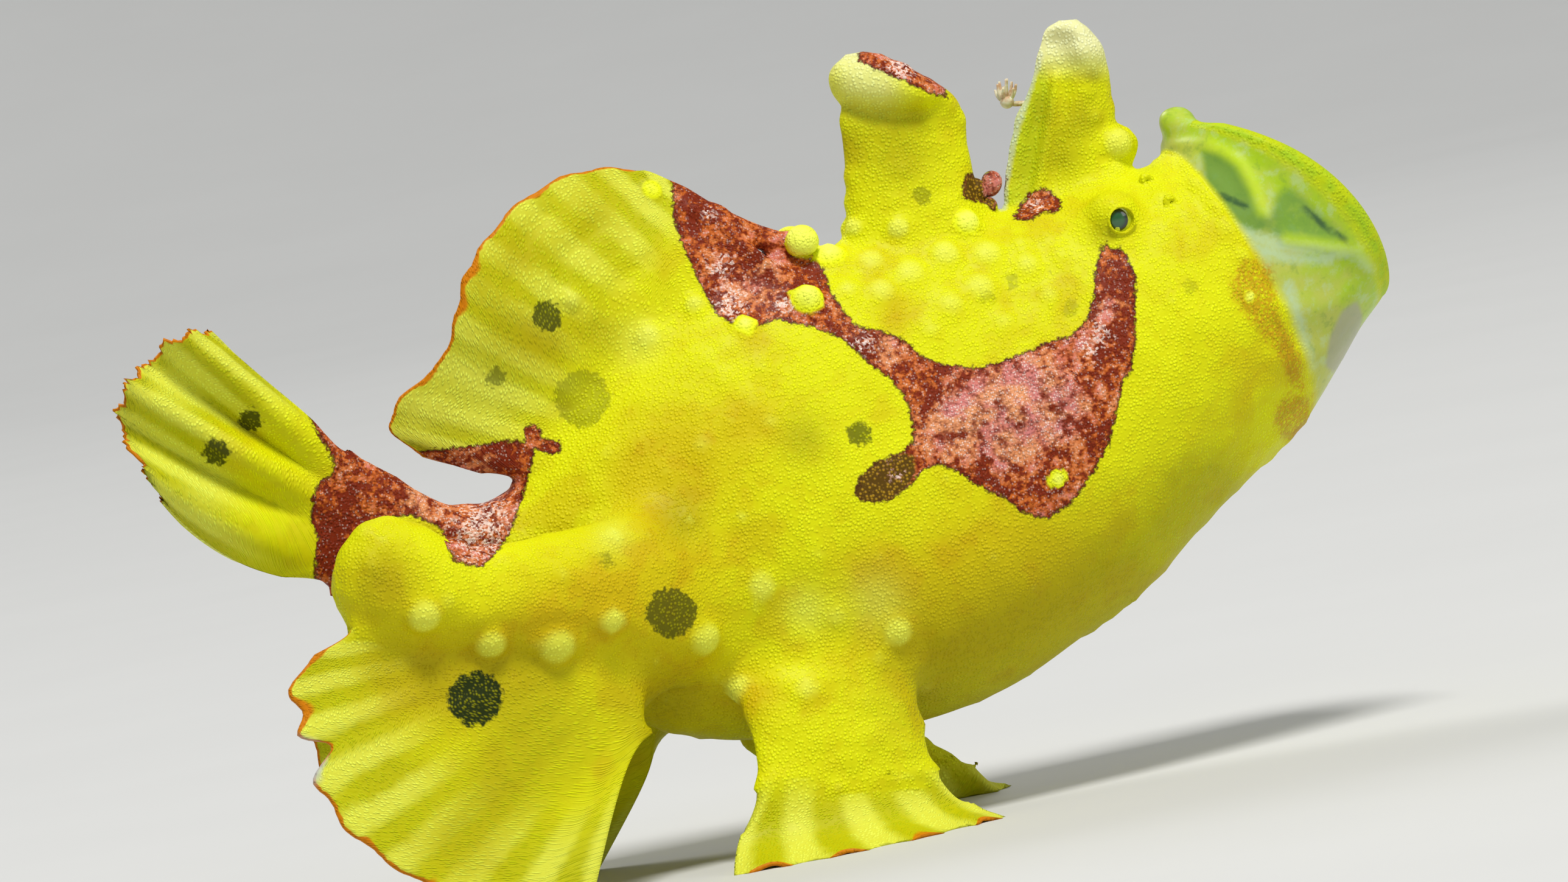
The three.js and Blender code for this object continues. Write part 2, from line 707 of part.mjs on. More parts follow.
// Nostrils: two short tubes on each side of the snout, and the tongue on the floor of the cavity.
const nostrils = [[35.4, 36.4], [37.0, 34.2]].flatMap(([x, z]) =>
  [-1, 1].map((side) => {
    const geometry = new THREE.TorusGeometry(0.5, 0.3, 5, 9);
    geometry.rotateX(Math.PI / 2);
    const foot = skinPoint(x, z, side);
    geometry.translate(foot.x, foot.y + side * 0.12, foot.z);
    return fromGeometry(geometry);
  }),
);
const tongue = (() => {
  const geometry = new THREE.SphereGeometry(1, 14, 8);
  geometry.scale(7.5, 5.2, 2.6);
  geometry.rotateY(radians(-38));
  geometry.translate(38.5, 0, 11.2);
  return fromGeometry(geometry);
})();

const [headPiece, trunkPiece, tailPiece] = bodyPieces.filter((p) => p.volume() > 20);
const socket = eyeBall(EYE_RADIUS + GAP);
const details = nostrils.reduce((sum, one) => sum.add(one), headPiece.add(tongue));
const head = details.add(lidRing).add(mirrored(lidRing)).subtract(socket).subtract(mirrored(socket));
addNode("head", head, SKIN);
addNode("trunk", trunkPiece, SKIN);
addNode("tail_stem", tailPiece, SKIN);
addNode("eye_right", eyeBall(EYE_RADIUS), EYE);
addNode("eye_left", mirrored(eyeBall(EYE_RADIUS)), EYE);

// Mouth tube parted into the two jaws and the stretched skin between them.
const knob = (() => {
  const geometry = new THREE.SphereGeometry(1.6, 10, 7);
  geometry.scale(1, 1.3, 1);
  geometry.translate(UPPER_LIP.x - 0.2, 0, UPPER_LIP.z + 0.1);
  return fromGeometry(geometry);
})();
const tube = mouthTube().add(knob);
const upperCut = cut([[34, 32.6], [41.6, 34.2], [49.5, 37.4], [60, 50]]);
const lowerCut = cut([[40, 22.6], [47.6, 21.2], [56, 27.8], [70, 36]]);
const mouthPieces = tube.subtract(upperCut).subtract(lowerCut).subtract(grownBody).decompose().filter((p) => p.volume() > 3);
const byHeight = mouthPieces.slice().sort((a, b) => middleOf(b).z - middleOf(a).z);
addNode("upper_jaw", byHeight[0], MOUTH);
addNode("lower_jaw", byHeight[byHeight.length - 1], MOUTH);
const flanks = byHeight.slice(1, -1).sort((a, b) => middleOf(a).y - middleOf(b).y);
addNode("mouth_skin_right", flanks[0], MOUTH);
addNode("mouth_skin_left", flanks[flanks.length - 1], MOUTH);

// Spines of the head, with the lure on the first.
const third = thirdSpine().subtract(grownBody);
addNode("third_spine", third, SKIN);
const frontWart = dome(V(33.9, 0, 40.3), 1.7, 1.6);
addNode("second_spine", secondSpine().add(frontWart).subtract(grownBody), SKIN);
const lureRod = rod([V(36.6, 1.6, 35.5), V(36.2, 2.6, 40.2), V(32.6, 3.9, 43.6), V(27.6, 4.3, 44.2), V(23.6, 4.1, 44.2)], 0.55, 0.3, 12, 6);
let lure = dome(V(23.4, 4.1, 44.4), 0.7, 0.5);
for (let i = 0; i < 6; i += 1) {
  const lean = mix(-1.1, 0.9, i / 5);
  const reach = 2.6 - 0.25 * Math.abs(i - 2.5);
  const from = V(23.4, 4.1, 44.2);
  const tip = V(23.4 + 0.9 * lean, 4.1 + 0.9 * Math.sin(2.4 * i), 44.2 + reach);
  lure = lure.add(rod([from, from.clone().lerp(tip, 0.5).add(V(0.25 * lean, 0, 0)), tip], 0.34, 0.16, 3, 5));
}
addNode("lure", lureRod.add(lure).subtract(grownBody).subtract(secondSpine()), LURE);

// Fins in the middle plane.
const dorsalWarts = [[-12.4, 35.0, 1.8], [-22.5, 24.7, 1.9]];
const dorsal = dorsalWarts.reduce((sum, [x, z, height]) => sum.add(dome(V(x, 0, z), 1.5, height)), dorsalFin());
addNode("dorsal_fin", dorsal.subtract(grownBody), FIN);
addNode("tail_fin", tailFin().subtract(grownBody), FIN);
addNode("anal_fin", analFin().subtract(grownBody), FIN);

// Paired limbs. The left hand is set a little further forward, and the left foot is one step ahead.
const LEFT_HAND_AHEAD = 9.5;
const LEFT_STEP = 11;
let arm = limb(ARM, 16, 18);
let grownArm = limb(ARM, 16, 18, GAP);
for (const [x, y, z, radius, height] of ARM_WARTS) {
  arm = arm.add(dome(V(x, y, z), radius, height));
  grownArm = grownArm.add(dome(V(x, y, z), radius + GAP, height + GAP));
}
const handSolid = hand(2.6).subtract(grownArm).subtract(grownBody).subtract(floorBlock);
addNode("arm_right", arm.subtract(grownBody), SKIN);
addNode("hand_right", handSolid, FIN);
const ahead = [LEFT_HAND_AHEAD, 0, 0];
addNode("arm_left", mirrored(arm).translate(ahead).subtract(grownBody), SKIN);
const leftHand = mirrored(hand(0)).translate(ahead).subtract(mirrored(grownArm).translate(ahead));
addNode("hand_left", leftHand.subtract(grownBody).subtract(floorBlock), FIN);
for (const [name, step] of [["right", 0], ["left", LEFT_STEP]]) {
  const turn = name === "left" ? mirrored : (solid) => solid;
  const armBefore = name === "left" ? mirrored(grownArm).translate(ahead) : grownArm;
  addNode(`leg_${name}`, turn(leg(step)).subtract(grownBody).subtract(armBefore), SKIN);
  addNode(`foot_${name}`, turn(toes(step)).subtract(turn(leg(step, GAP))).subtract(grownBody).subtract(floorBlock), FIN);
}

// The origin is on the floor, under the middle of the animal.
const box = new THREE.Box3().setFromObject(root, true);
root.position.set(-(box.min.x + box.max.x) / 2, -(box.min.y + box.max.y) / 2, -box.min.z);

export default root;
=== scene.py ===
"""A life-size warty frogfish, yawning and standing on its fins: what dresses its solids."""

import math

import bpy
import numpy as np
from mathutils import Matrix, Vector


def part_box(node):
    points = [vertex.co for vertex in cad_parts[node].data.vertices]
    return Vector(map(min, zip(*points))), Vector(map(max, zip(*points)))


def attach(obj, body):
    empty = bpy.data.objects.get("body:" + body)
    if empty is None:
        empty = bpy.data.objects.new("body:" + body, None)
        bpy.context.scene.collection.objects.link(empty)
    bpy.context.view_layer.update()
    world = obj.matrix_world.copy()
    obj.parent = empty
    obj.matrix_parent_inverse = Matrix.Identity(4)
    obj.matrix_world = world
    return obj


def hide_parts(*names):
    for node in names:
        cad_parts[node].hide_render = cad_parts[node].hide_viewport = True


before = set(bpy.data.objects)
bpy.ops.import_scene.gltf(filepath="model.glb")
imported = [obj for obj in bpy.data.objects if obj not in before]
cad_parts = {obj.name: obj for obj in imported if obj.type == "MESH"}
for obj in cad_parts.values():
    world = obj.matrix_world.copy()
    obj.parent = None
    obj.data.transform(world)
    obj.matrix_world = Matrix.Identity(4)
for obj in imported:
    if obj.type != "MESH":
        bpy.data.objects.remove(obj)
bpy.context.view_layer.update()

MM = 0.001
NOSE_DOWN = math.radians(11)
SIGHT = math.radians(15)  # the camera stands this far towards the tail
PIXEL = 0.06  # millimetres of the animal to a pixel of the photograph
ORIGIN_PIXEL = (1300, 900)  # where the animal's own frame starts, in pixels

# All in millimetres, but for the slope.
CHEEK_WALL = 2.4  # thickness of the flesh round the mouth cavity
MEMBRANE = 0.9  # thickness of the stretched mouth skin
LIP_HALF = 1.15  # half the thickness of the rolled lip
LIP_FLARE = 0.35  # how far the lip stands out of the mouth skin
LIP_BOW = 3.4  # how far the mouth's rim bows
EYE_RADIUS = 2.7
LEFT_HAND_AHEAD = 9.5  # how far the left hand stands ahead of the right
LEFT_STEP = 11  # the same for the left foot
FLOOR = -29.0  # height of the floor in the turned frame, before the lift
FLOOR_SLOPE = 0.19  # rise of the floor along the animal, in its own frame


# Numbers and curves

def ease(low, high, x):
    """A share that rises from 0 at low to 1 at high, level at both ends."""
    t = np.clip((x - low) / (high - low), 0, 1)
    return t * t * (3 - 2 * t)


def through(rows, t):
    """Catmull-Rom curve through rows spread evenly over 0..1, read at t: one row out for each t."""
    rows = np.asarray(rows, float)
    padded = np.vstack([2 * rows[0] - rows[1], rows, 2 * rows[-1] - rows[-2]])
    place = np.clip(np.asarray(t, float), 0, 1) * (len(rows) - 1)
    step = np.minimum(place.astype(int), len(rows) - 2)
    w = (place - step)[..., None]
    a, b, c, d = (padded[step + i] for i in range(4))
    square, cube = 2 * a - 5 * b + 4 * c - d, 3 * b - a - 3 * c + d
    return 0.5 * (2 * b + (c - a) * w + square * w**2 + cube * w**3)


def unit(v):
    """Vectors scaled to length one."""
    return v / np.maximum(np.linalg.norm(v, axis=-1, keepdims=True), 1e-9)


def tipped(points, angle):
    """Points or directions turned nose down by an angle, about the axis across the animal."""
    c, s = math.cos(angle), math.sin(angle)
    x, y, z = points[..., 0], points[..., 1], points[..., 2]
    return np.stack([x * c + z * s, y, z * c - x * s], -1)


def in_frame(points):
    """From the animal's own frame, in millimetres, to the row frame, in metres: turned nose down, then
    lifted."""
    return (tipped(points, NOSE_DOWN) + lift) * MM


# Forms: each returns points, faces and notes, where notes are numbers kept for every point. They are
# fin (1 on a fin), ray (1 on a ray, 0 between), edge (mm to the fin's margin), across (mm along the
# margin), mouth (0 skin to 1 lip), inner (1 inside the mouth), limb (1 on an arm or leg and its fin)
# and ahead (mm that a left limb stands ahead of its right one).

NOTES = ("fin", "ray", "edge", "across", "mouth", "inner", "limb", "ahead")
EDGE_FAR = 20  # what edge holds away from the fins


def notes(count, **given):
    """A row of notes for each point, with the edge far off unless it is given."""
    table = np.zeros((count, len(NOTES)))
    table[:, NOTES.index("edge")] = EDGE_FAR
    for name, value in given.items():
        table[:, NOTES.index(name)] = np.ravel(value)
    return table


def note(table, name):
    """One column of the notes."""
    return table[:, NOTES.index(name)]


def tube(rings, given=None):
    """Rings of points joined into a closed skin. Both open ends are closed on their middle point."""
    count, sides = rings.shape[:2]
    points = np.vstack([rings.reshape(-1, 3), rings[0].mean(0), rings[-1].mean(0)])
    i = np.arange(count - 1)[:, None] * sides
    j = np.arange(sides)[None, :]
    k = (j + 1) % sides
    quads = np.stack([i + j, i + k, i + k + sides, i + j + sides], -1).reshape(-1, 4)
    j = np.arange(sides)
    k = (j + 1) % sides
    end = (count - 1) * sides
    first = np.stack([k, j, np.full(sides, count * sides)], -1)
    last = np.stack([end + j, end + k, np.full(sides, count * sides + 1)], -1)
    table = notes(len(points))
    if given is not None:
        table[: count * sides] = given
        table[-2:] = given[0], given[-1]
    return points, [quads, first, last], table


def rings_between(low, high, reach, sides, side=0.0, grow=0.0, bow=0.0):
    """Rings across a flattened form. A ring's point is its centre + rise·half·up + bow·out²·ahead, and
    out·reach sideways. Rise and out are the cosine and sine of the angle round, and reach(share of the
    way up) is the half thickness."""
    angle = np.arange(sides) * 2 * np.pi / sides
    rise, out = np.cos(angle), np.sin(angle)
    up = high - low
    half = np.linalg.norm(up, axis=1, keepdims=True) / 2 + np.reshape(grow, (-1, 1))
    up = unit(up)
    ahead = np.stack([up[:, 1], -up[:, 0]], -1)
    centre = (low + high) / 2
    lifted = up[:, None] * (half * rise)[..., None]
    bowed = ahead[:, None] * (np.reshape(bow, (-1, 1)) * out**2)[..., None]
    flat = centre[:, None] + lifted + bowed
    wide = reach((1 + rise)[None] / 2) + np.reshape(grow, (-1, 1))
    y = np.reshape(side, (-1, 1)) + out * wide
    return np.stack([flat[..., 0], y, flat[..., 1]], -1)


# Body. Columns: back x, z, belly x, z, half width, lowness of the widest line.
BODY = [
    [-46.2, 10.2, -47.6, -5.0, 1.0, 0],
    [-41.0, 7.5, -43.5, -4.6, 2.0, 0],
    [-36.0, 4.6, -38.5, -3.8, 2.9, 0],
    [-31.7, 4.3, -33.5, -5.0, 3.8, 0],
    [-27.4, 6.8, -28.0, -9.4, 5.4, 0.05],
    [-23.6, 12.0, -21.7, -13.8, 7.4, 0.1],
    [-17.5, 19.3, -14.9, -17.4, 9.3, 0.14],
    [-10.8, 24.6, -8.1, -18.9, 10.7, 0.16],
    [-4.0, 27.6, -0.6, -18.9, 11.7, 0.18],
    [3.7, 29.6, 7.5, -18.3, 12.5, 0.2],
    [11.2, 31.0, 14.9, -16.8, 13.1, 0.2],
    [18.6, 32.6, 22.4, -13.8, 13.4, 0.18],
    [24.8, 34.2, 29.2, -9.3, 13.4, 0.15],
    [30.4, 36.2, 36.0, -4.5, 13.2, 0.1],
    [35.0, 37.6, 41.9, 1.8, 12.6, 0.06],
    [37.6, 38.4, 48.0, 7.6, 11.8, 0.03],
    [38.6, 39.4, 52.8, 12.0, 11.2, 0],
]
# Swellings and hollows of the flank: x, z, radius, height.
SWELLINGS = [
    [29.8, 35.6, 3.6, 1.5],
    [41.5, 22, 8, 0.7],
    [21, 26, 6, -0.9],
    [-3, 6, 11, 0.8],
    [13, -7, 8, 0.6],
    [10, 17, 7, -0.4],
]
# Places in the middle plane, x and z.
THROAT = np.array([25.0, 15.0])
UPPER_LIP = np.array([39.6, 42.4])
LOWER_LIP = np.array([60.6, 25.0])
SIDES = 116  # points round each ring of the body


def body_reach(row, share):
    """Half width of the body at a share of the way from belly to back, with its swellings added."""
    back, belly, half, low = row[:, 0:2], row[:, 2:4], row[:, 4:5], row[:, 5:6]
    x = belly[:, :1] + (back - belly)[:, :1] * share
    z = belly[:, 1:] + (back - belly)[:, 1:] * share
    fullness = np.sqrt(np.clip(4 * share * (1 - share), 0, None))
    added = sum(h * np.exp(-((x - cx) ** 2 + (z - cz) ** 2) / (r * r)) for cx, cz, r, h in SWELLINGS)
    return half * (1 - low * (2 * share - 1)) + added * ease(0, 0.5, fullness)


def body_rings(t):
    """Rings of the outer skin from the tail root (0) to the mouth (1)."""
    row = through(BODY, t)
    return rings_between(row[:, 2:4], row[:, 0:2], lambda share: body_reach(row, share), SIDES)


def skin_point(x, z, side):
    """The point of the body's skin at x and z on one side: the station whose middle line passes there."""
    row = through(BODY, np.linspace(0, 1, 201))
    back, belly = row[:, 0:2], row[:, 2:4]
    up = back - belly
    share = ((np.array([x, z]) - belly) * up).sum(1) / (up**2).sum(1)
    off = np.linalg.norm(belly + up * share[:, None] - [x, z], axis=1)
    best = int(np.argmin(off))
    rise = min(0.999, abs(2 * share[best] - 1))
    wide = body_reach(row[best : best + 1], share[best : best + 1, None])[0, 0]
    return np.array([x, side * wide * math.sqrt(1 - rise * rise), z])


def mouth_rings(t, inset, push):
    """Rings of the stretched mouth from the cheeks (t 0) to the lips (t 1), drawn in by inset and moved
    ahead by push."""
    t, inset, push = (np.asarray(v, float)[:, None] for v in (t, inset, push))
    ahead = np.array([[0.85, 0.52]])
    base = np.array(BODY[-1], float)
    high = base[None, 0:2] * (1 - t) + UPPER_LIP * t + ahead * push
    low = base[None, 2:4] * (1 - t) + LOWER_LIP * t + ahead * push
    wide = base[4] - 0.6 * t - inset
    bow = (LIP_BOW * t**2)[:, 0]
    return rings_between(low, high, lambda share: wide + 0 * share, SIDES, grow=-inset[:, 0], bow=bow)


def cavity_rings(q):
    """Rings of the bowl behind the mouth, shrinking by sqrt(1 - q²) on the way to the throat."""
    base = np.array(BODY[-1], float)
    high, low = base[0:2], base[2:4]
    wide = np.sqrt(1 - q**2)[:, None]
    up = (high - low) / np.linalg.norm(high - low)
    reach = (np.linalg.norm(high - low) / 2 - CHEEK_WALL) * wide
    centre = (high + low) / 2 * (1 - q[:, None]) + THROAT * q[:, None]
    half = (base[4] - CHEEK_WALL) * wide
    return rings_between(centre - up * reach, centre + up * reach, lambda share: half + 0 * share, SIDES)


def whole_body():
    """Outer skin, mouth tube, lips, the tube's inside and the mouth cavity as one closed form."""
    outer = np.linspace(0, 1, 150)
    out_t = np.linspace(0.05, 0.97, 19)
    out_in = 0.1 * (1 - ease(0, 0.3, out_t)) - LIP_FLARE * ease(0.72, 1, out_t)
    turn = np.linspace(0, np.pi, 11)
    in_t = np.linspace(0.97, 0.0, 20)
    in_in = MEMBRANE + 1.05 * ease(0.72, 1, in_t) + 0.5 * (1 - ease(0, 0.4, in_t))
    q = np.sin(np.linspace(0.02, 0.96, 22) * np.pi / 2)
    lip = mouth_rings(1 + 0 * turn, LIP_HALF * (1 - np.cos(turn)) - LIP_FLARE, LIP_HALF * np.sin(turn))
    parts = [
        (body_rings(outer), 0 * outer, 0),
        (mouth_rings(out_t, out_in, 0 * out_t), out_t, 0),
        (lip, 1 + 0 * turn, 0.5),
        (mouth_rings(in_t, in_in, 0 * in_t), in_t, 1),
        (cavity_rings(q), 0 * q, 1),
    ]
    rings = np.concatenate([p[0] for p in parts])
    mouth = np.concatenate([p[1] for p in parts])
    inner = np.concatenate([p[2] + 0 * p[1] for p in parts])
    spread = np.ones((1, SIDES))
    mouth, inner = mouth[:, None] * spread, inner[:, None] * spread
    return tube(rings, notes(rings.shape[0] * SIDES, mouth=mouth, inner=inner))


# Spines, legs and arm. Columns of a spine: rear edge x, z, front edge x, z, half width.
THIRD_SPINE = [
    [4.2, 26, 22.4, 27, 5.4],
    [5.2, 30.4, 20.8, 32.4, 4.3],
    [5.6, 34, 19.0, 36.2, 3.2],
    [5.5, 38, 18.1, 39.8, 2.4],
    [5.0, 42, 17.8, 42.4, 2.2],
    [4.3, 45.2, 16.4, 44.9, 3.5],
    [4.3, 47.2, 12.6, 47.2, 3.2],
    [5.6, 48.8, 9.2, 48.9, 1.7],
]
SECOND_SPINE = [
    [22.6, 30, 34, 32.6, 3.2],
    [21.8, 34.2, 35.2, 38.0, 2.6],
    [22.2, 37.8, 34.2, 40.8, 2.1],
    [23.4, 42.6, 33.3, 43.6, 1.9],
    [24.8, 46.4, 32.9, 46.2, 2.0],
    [25.6, 49.4, 32.2, 49.2, 2.8],
    [26.2, 51.4, 30.9, 51.3, 2.3],
    [27.6, 52.4, 29.4, 52.4, 0.9],
]


def spine(rows, stations, sides, thickness):
    """A fleshy spine: rings across it from root to tip, from its rear edge to its front edge."""
    t = np.linspace(0, 1, stations)
    row = through(rows, t)
    reach = lambda share: thickness(share, row[:, 4:5], t[:, None])
    return tube(rings_between(row[:, 0:2], row[:, 2:4], reach, sides))


def third_spine():
    """The thick club: a little thinner behind than in front."""
    return spine(THIRD_SPINE, 56, 64, lambda share, half, t: half * (0.8 + 0.25 * share))


def second_spine():
    """The stalk of the second spine in front, with thin skin stretched behind it up to the swollen tip."""
    def thickness(share, half, t):
        thin = 0.45 + (half * 0.8 - 0.45) * ease(0.75, 0.95, t)
        return thin + (half - thin) * ease(0.15, 0.62, share)

    return spine(SECOND_SPINE, 60, 72, thickness)


# Columns: centre x, y, z, half height, half width.
ARM = [
    [-3, -4.0, -4.5, 9.0, 3.4],
    [-13, -8.0, -4.4, 8.8, 4.4],
    [-23, -11.2, -4.7, 7.2, 4.5],
    [-31, -12.8, -5.0, 5.8, 4.2],
    [-36.6, -13.5, -4.9, 5.3, 4.0],
    [-41.4, -14.0, -3.8, 6.4, 4.1],
    [-45.6, -14.2, -3.2, 6.1, 3.6],
    [-48.4, -14.2, -3.2, 4.0, 2.4],
    [-49.6, -14.2, -3.3, 1.2, 0.8],
]


def arm():
    """The pectoral arm of the right side: ellipses across a bent centre line, ending in the blunt elbow."""
    t = np.linspace(0, 1, 72)
    row = through(ARM, t)
    along = through(ARM, t + 0.02)[:, :2] - through(ARM, t - 0.02)[:, :2]
    along = unit(along)
    out = np.stack([-along[:, 1], along[:, 0], 0 * t], -1)
    angle = np.arange(60) * 2 * np.pi / 60
    up = row[:, 3:4] * np.cos(angle)
    wide = row[:, 4:5] * np.sin(angle)
    points = row[:, None, :3] + up[..., None] * np.array([0, 0, 1.0]) + wide[..., None] * out[:, None]
    return tube(points)


# Columns: rear edge x, z, front edge x, z, half width, y of the middle.
LEG = [
    [-4.5, -5, 12.0, -2.5, 4.2, -5.0],
    [-7.0, -11, 11.8, -8.5, 4.1, -7.6],
    [-8.0, -14.8, 10.2, -13.8, 3.4, -9.6],
    [-7.0, -18.4, 10.6, -18.0, 2.6, -11.4],
    [-7.4, -21.6, 11.6, -20.8, 2.0, -12.6],
    [-7.6, -24.0, 12.2, -23.0, 1.4, -13.3],
]


def leg(step):
    """The pelvic leg of the right side: flattened rings from the belly down to the foot, which is moved
    ahead by step·t² along the leg."""
    t = np.linspace(0, 1, 40)
    row = through(LEG, t)
    move = np.stack([step * t**2, 0.1 * step * t**2], -1)
    low, high = row[:, 0:2] + move, row[:, 2:4] + move
    return tube(rings_between(low, high, lambda share: row[:, 4:5] + 0 * share, 56, side=row[:, 5]))


def fin(root, margin, grid, halves, ridge, scallop, bend, torn=None, thicken=None, ragged=0.12):
    """A two-faced fin on a grid of (rays, columns to a ray, rows). A point is
    root + share·(margin - root) + bend(u, v), moved out by the half thickness along the surface's normal.
    The half thickness falls from the first of halves to the second, and rises by ridge on each ray. The
    margin draws back between the rays by scallop, and in small nicks by ragged."""
    rays, per_ray, rows = grid
    root_half, edge_half = halves
    columns = (rays - 1) * per_ray
    u = np.linspace(0, 1, columns + 1)[:, None] + np.zeros((1, rows + 1))
    v = np.linspace(0, 1, rows + 1)[None] + 0 * u
    ray = lambda a: np.cos(np.pi * (rays - 1) * a) ** 2
    nick = lambda a: ragged * (0.5 + 0.3 * np.sin(211 * a + 1.3) * np.sin(127 * a) + 0.2 * np.sin(389 * a))

    def middle(a, b):
        start = through(root, a)
        reach = through(margin, a) - start
        rip = torn(a) if torn else 0 * a
        back = (scallop + rip) * (1 - ray(a)) + 0.35 * rip + nick(a) * b**8
        share = b * (1 - back * b / np.linalg.norm(reach, axis=-1))
        return start + reach * share[..., None] + bend(a, b)

    step = 0.004
    along = middle(np.minimum(1, u + step), v) - middle(np.maximum(0, u - step), v)
    out = middle(u, np.minimum(1, v + step)) - middle(u, np.maximum(0, v - step))
    normal = unit(np.cross(along, out))
    half = edge_half + (root_half - edge_half) * (1 - v) ** 1.5
    half = half + ridge * ray(u) * ease(0, 0.4, v) * (1.1 - v)
    if thicken:
        half = half + thicken(u, v)
    rim = np.minimum(1, np.minimum(1 - v, 0.35) * 3.2 + 0.45)
    centre = middle(u, v)
    faces = [centre + normal * (sign * half * rim)[..., None] for sign in (1, -1)]
    length = np.linalg.norm(through(margin, u) - through(root, u), axis=-1)
    edge = (1 - v) * length
    wide = np.linalg.norm(np.diff(centre, axis=0), axis=-1).sum(0)
    across = u * wide[None]
    count = u.size
    at = np.arange(count).reshape(u.shape)
    a, b, c, d = at[:-1, :-1], at[1:, :-1], at[1:, 1:], at[:-1, 1:]
    front = np.stack([a, b, c, d], -1).reshape(-1, 4)
    back = front[:, ::-1] + count
    loop = np.concatenate([at[:-1, 0], at[-1, :-1], at[:0:-1, -1], at[0, :0:-1]])
    after = np.roll(loop, -1)
    wall = np.stack([loop, loop + count, after + count, after], -1)
    twice = lambda values: np.tile(values.ravel(), 2)
    table = notes(2 * count, fin=1, ray=twice(ray(u)), edge=twice(edge), across=twice(across))
    return np.vstack([faces[0].reshape(-1, 3), faces[1].reshape(-1, 3)]), [front, back, wall], table


def flat(points):
    """Points of the middle plane, given as x and z."""
    return [[x, 0, z] for x, z in points]


def aside(y):
    """A bend that only moves points across the animal."""
    return np.stack([0 * y, y, 0 * y], -1)


def dorsal_fin():
    """The long fin of the back, waved along its margin, with a thick leading edge."""
    return fin(
        flat([(0, 26), (-5, 24), (-10, 20.5), (-14, 16), (-17, 12), (-20, 8.5), (-23, 5)]),
        flat([(-10.2, 35.8), (-13.6, 37.2), (-18.6, 37.6), (-23.4, 36.6), (-28.4, 33.7), (-32.0, 29.8),
              (-34.0, 26.4), (-34.8, 22.4), (-36.0, 18.4), (-39.6, 14.8), (-40.4, 11.6), (-37.0, 9.0)]),
        (12, 9, 42), (3.6, 0.34), 0.12, 0.3,
        lambda u, v: aside(2.0 * np.sin(2 * np.pi * 1.25 * u + 0.4) * ease(0.2, 1, v)),
        thicken=lambda u, v: 1.7 * np.exp(-((u / 0.07) ** 2)) * (1 - 0.45 * v),
    )


def tail_fin():
    """The folded tail fan, curled to the right at its tip."""
    def bend(u, v):
        belly = 1.7 * np.sin(np.pi * v) * ease(0.55, 1, u)
        fold = 1.5 * np.cos(2 * np.pi * 3 * u) * ease(0.0, 0.5, v) * (1 - 0.25 * v)
        return np.stack([-0.5 * belly, fold - 2.2 * v * v, -belly], -1)

    return fin(
        flat([(-44.6, 8.9), (-45.4, 5.2), (-46.0, 1.6), (-46.6, -3.6)]),
        flat([(-59.3, 21.5), (-61.8, 21.6), (-64.2, 20.4), (-66.4, 18.0), (-68.4, 16.4), (-68.8, 13.6),
              (-68.0, 10.4), (-66.2, 7.4), (-64.0, 4.8)]),
        (9, 12, 40), (1.2, 0.36), 0.13, 0.7, bend, ragged=0.9,
    )


def anal_fin():
    """The short fin under the tail."""
    return fin(
        flat([(-17.5, -12.5), (-22, -10.5), (-27, -6.5), (-31, -3.6)]),
        flat([(-27, -17.6), (-32, -17), (-37, -14.8), (-40.4, -11.6), (-41.4, -8.6), (-39.6, -6.2)]),
        (7, 9, 24), (2, 0.35), 0.3, 0.4,
        lambda u, v: aside(0.7 * np.sin(6 * u) * v),
    )


def hand(torn_depth):
    """The fan of the right hand, back and down from under the arm to the floor."""
    return fin(
        [[-33.5, -12.8, -6], [-29, -12.2, -8], [-25, -11.8, -9.5], [-21.5, -11.2, -11.5],
         [-18.4, -10.6, -13.6], [-19.2, -11.2, -17.6]],
        [[-47.6, -15.4, -7.2], [-51.6, -16.6, -9.8], [-54.6, -17.4, -13.4], [-54.6, -18.0, -18.0],
         [-53.0, -18.4, -22.6], [-49.6, -18.8, -27.0], [-45.0, -19.4, -30.6], [-39.6, -20.2, -33.6],
         [-33.0, -21.2, -36.0], [-25.6, -21.2, -35.0]],
        (10, 11, 44), (2.3, 0.36), 0.1, 0.45,
        lambda u, v: aside(1.3 * np.sin(2 * np.pi * 1.3 * u) * v * (1 - 0.3 * v)),
        torn=lambda u: torn_depth * np.exp(-(((u - 0.37) / 0.085) ** 2)),
    )


def toes(step):
    """The spread toes of the right foot, moved ahead by step, and up by as much as the floor rises in the
    animal's own frame."""
    rise = step * FLOOR_SLOPE
    ankle = np.array([[-6.8, -13.2, -22.2], [-1.5, -13.2, -22], [5, -13.2, -21.8], [11.4, -13.2, -21.2]])
    tips = np.array([[-11.0, -19.8, -32.2], [-5.6, -22.2, -31.4], [0.8, -23.2, -30.2],
                     [7.6, -22.8, -28.9], [13.6, -21.0, -27.7], [17.6, -18.4, -26.6]])
    return fin(
        ankle + [step, 0, 0],
        tips + [step, 0, rise],
        (5, 16, 26), (1.3, 0.4), 0.35, 1.6,
        lambda u, v: np.stack([0 * u, 2.6 * np.sin(np.pi * v), -1.6 * np.sin(np.pi * v)], -1),
    )


def ball(centre, radii, rows=20, sides=32, tilt=0.0):
    """An ellipsoid: rings at equal angles from pole to pole, its long axis tipped nose down by tilt."""
    polar = np.linspace(0.02, np.pi - 0.02, rows)[:, None]
    angle = np.arange(sides) * 2 * np.pi / sides
    x = radii[0] * np.sin(polar) * np.cos(angle)
    y = radii[1] * np.sin(polar) * np.sin(angle)
    z = radii[2] * np.cos(polar) + 0 * angle
    return tube(tipped(np.stack([x, y, z], -1), tilt) + np.asarray(centre, float))


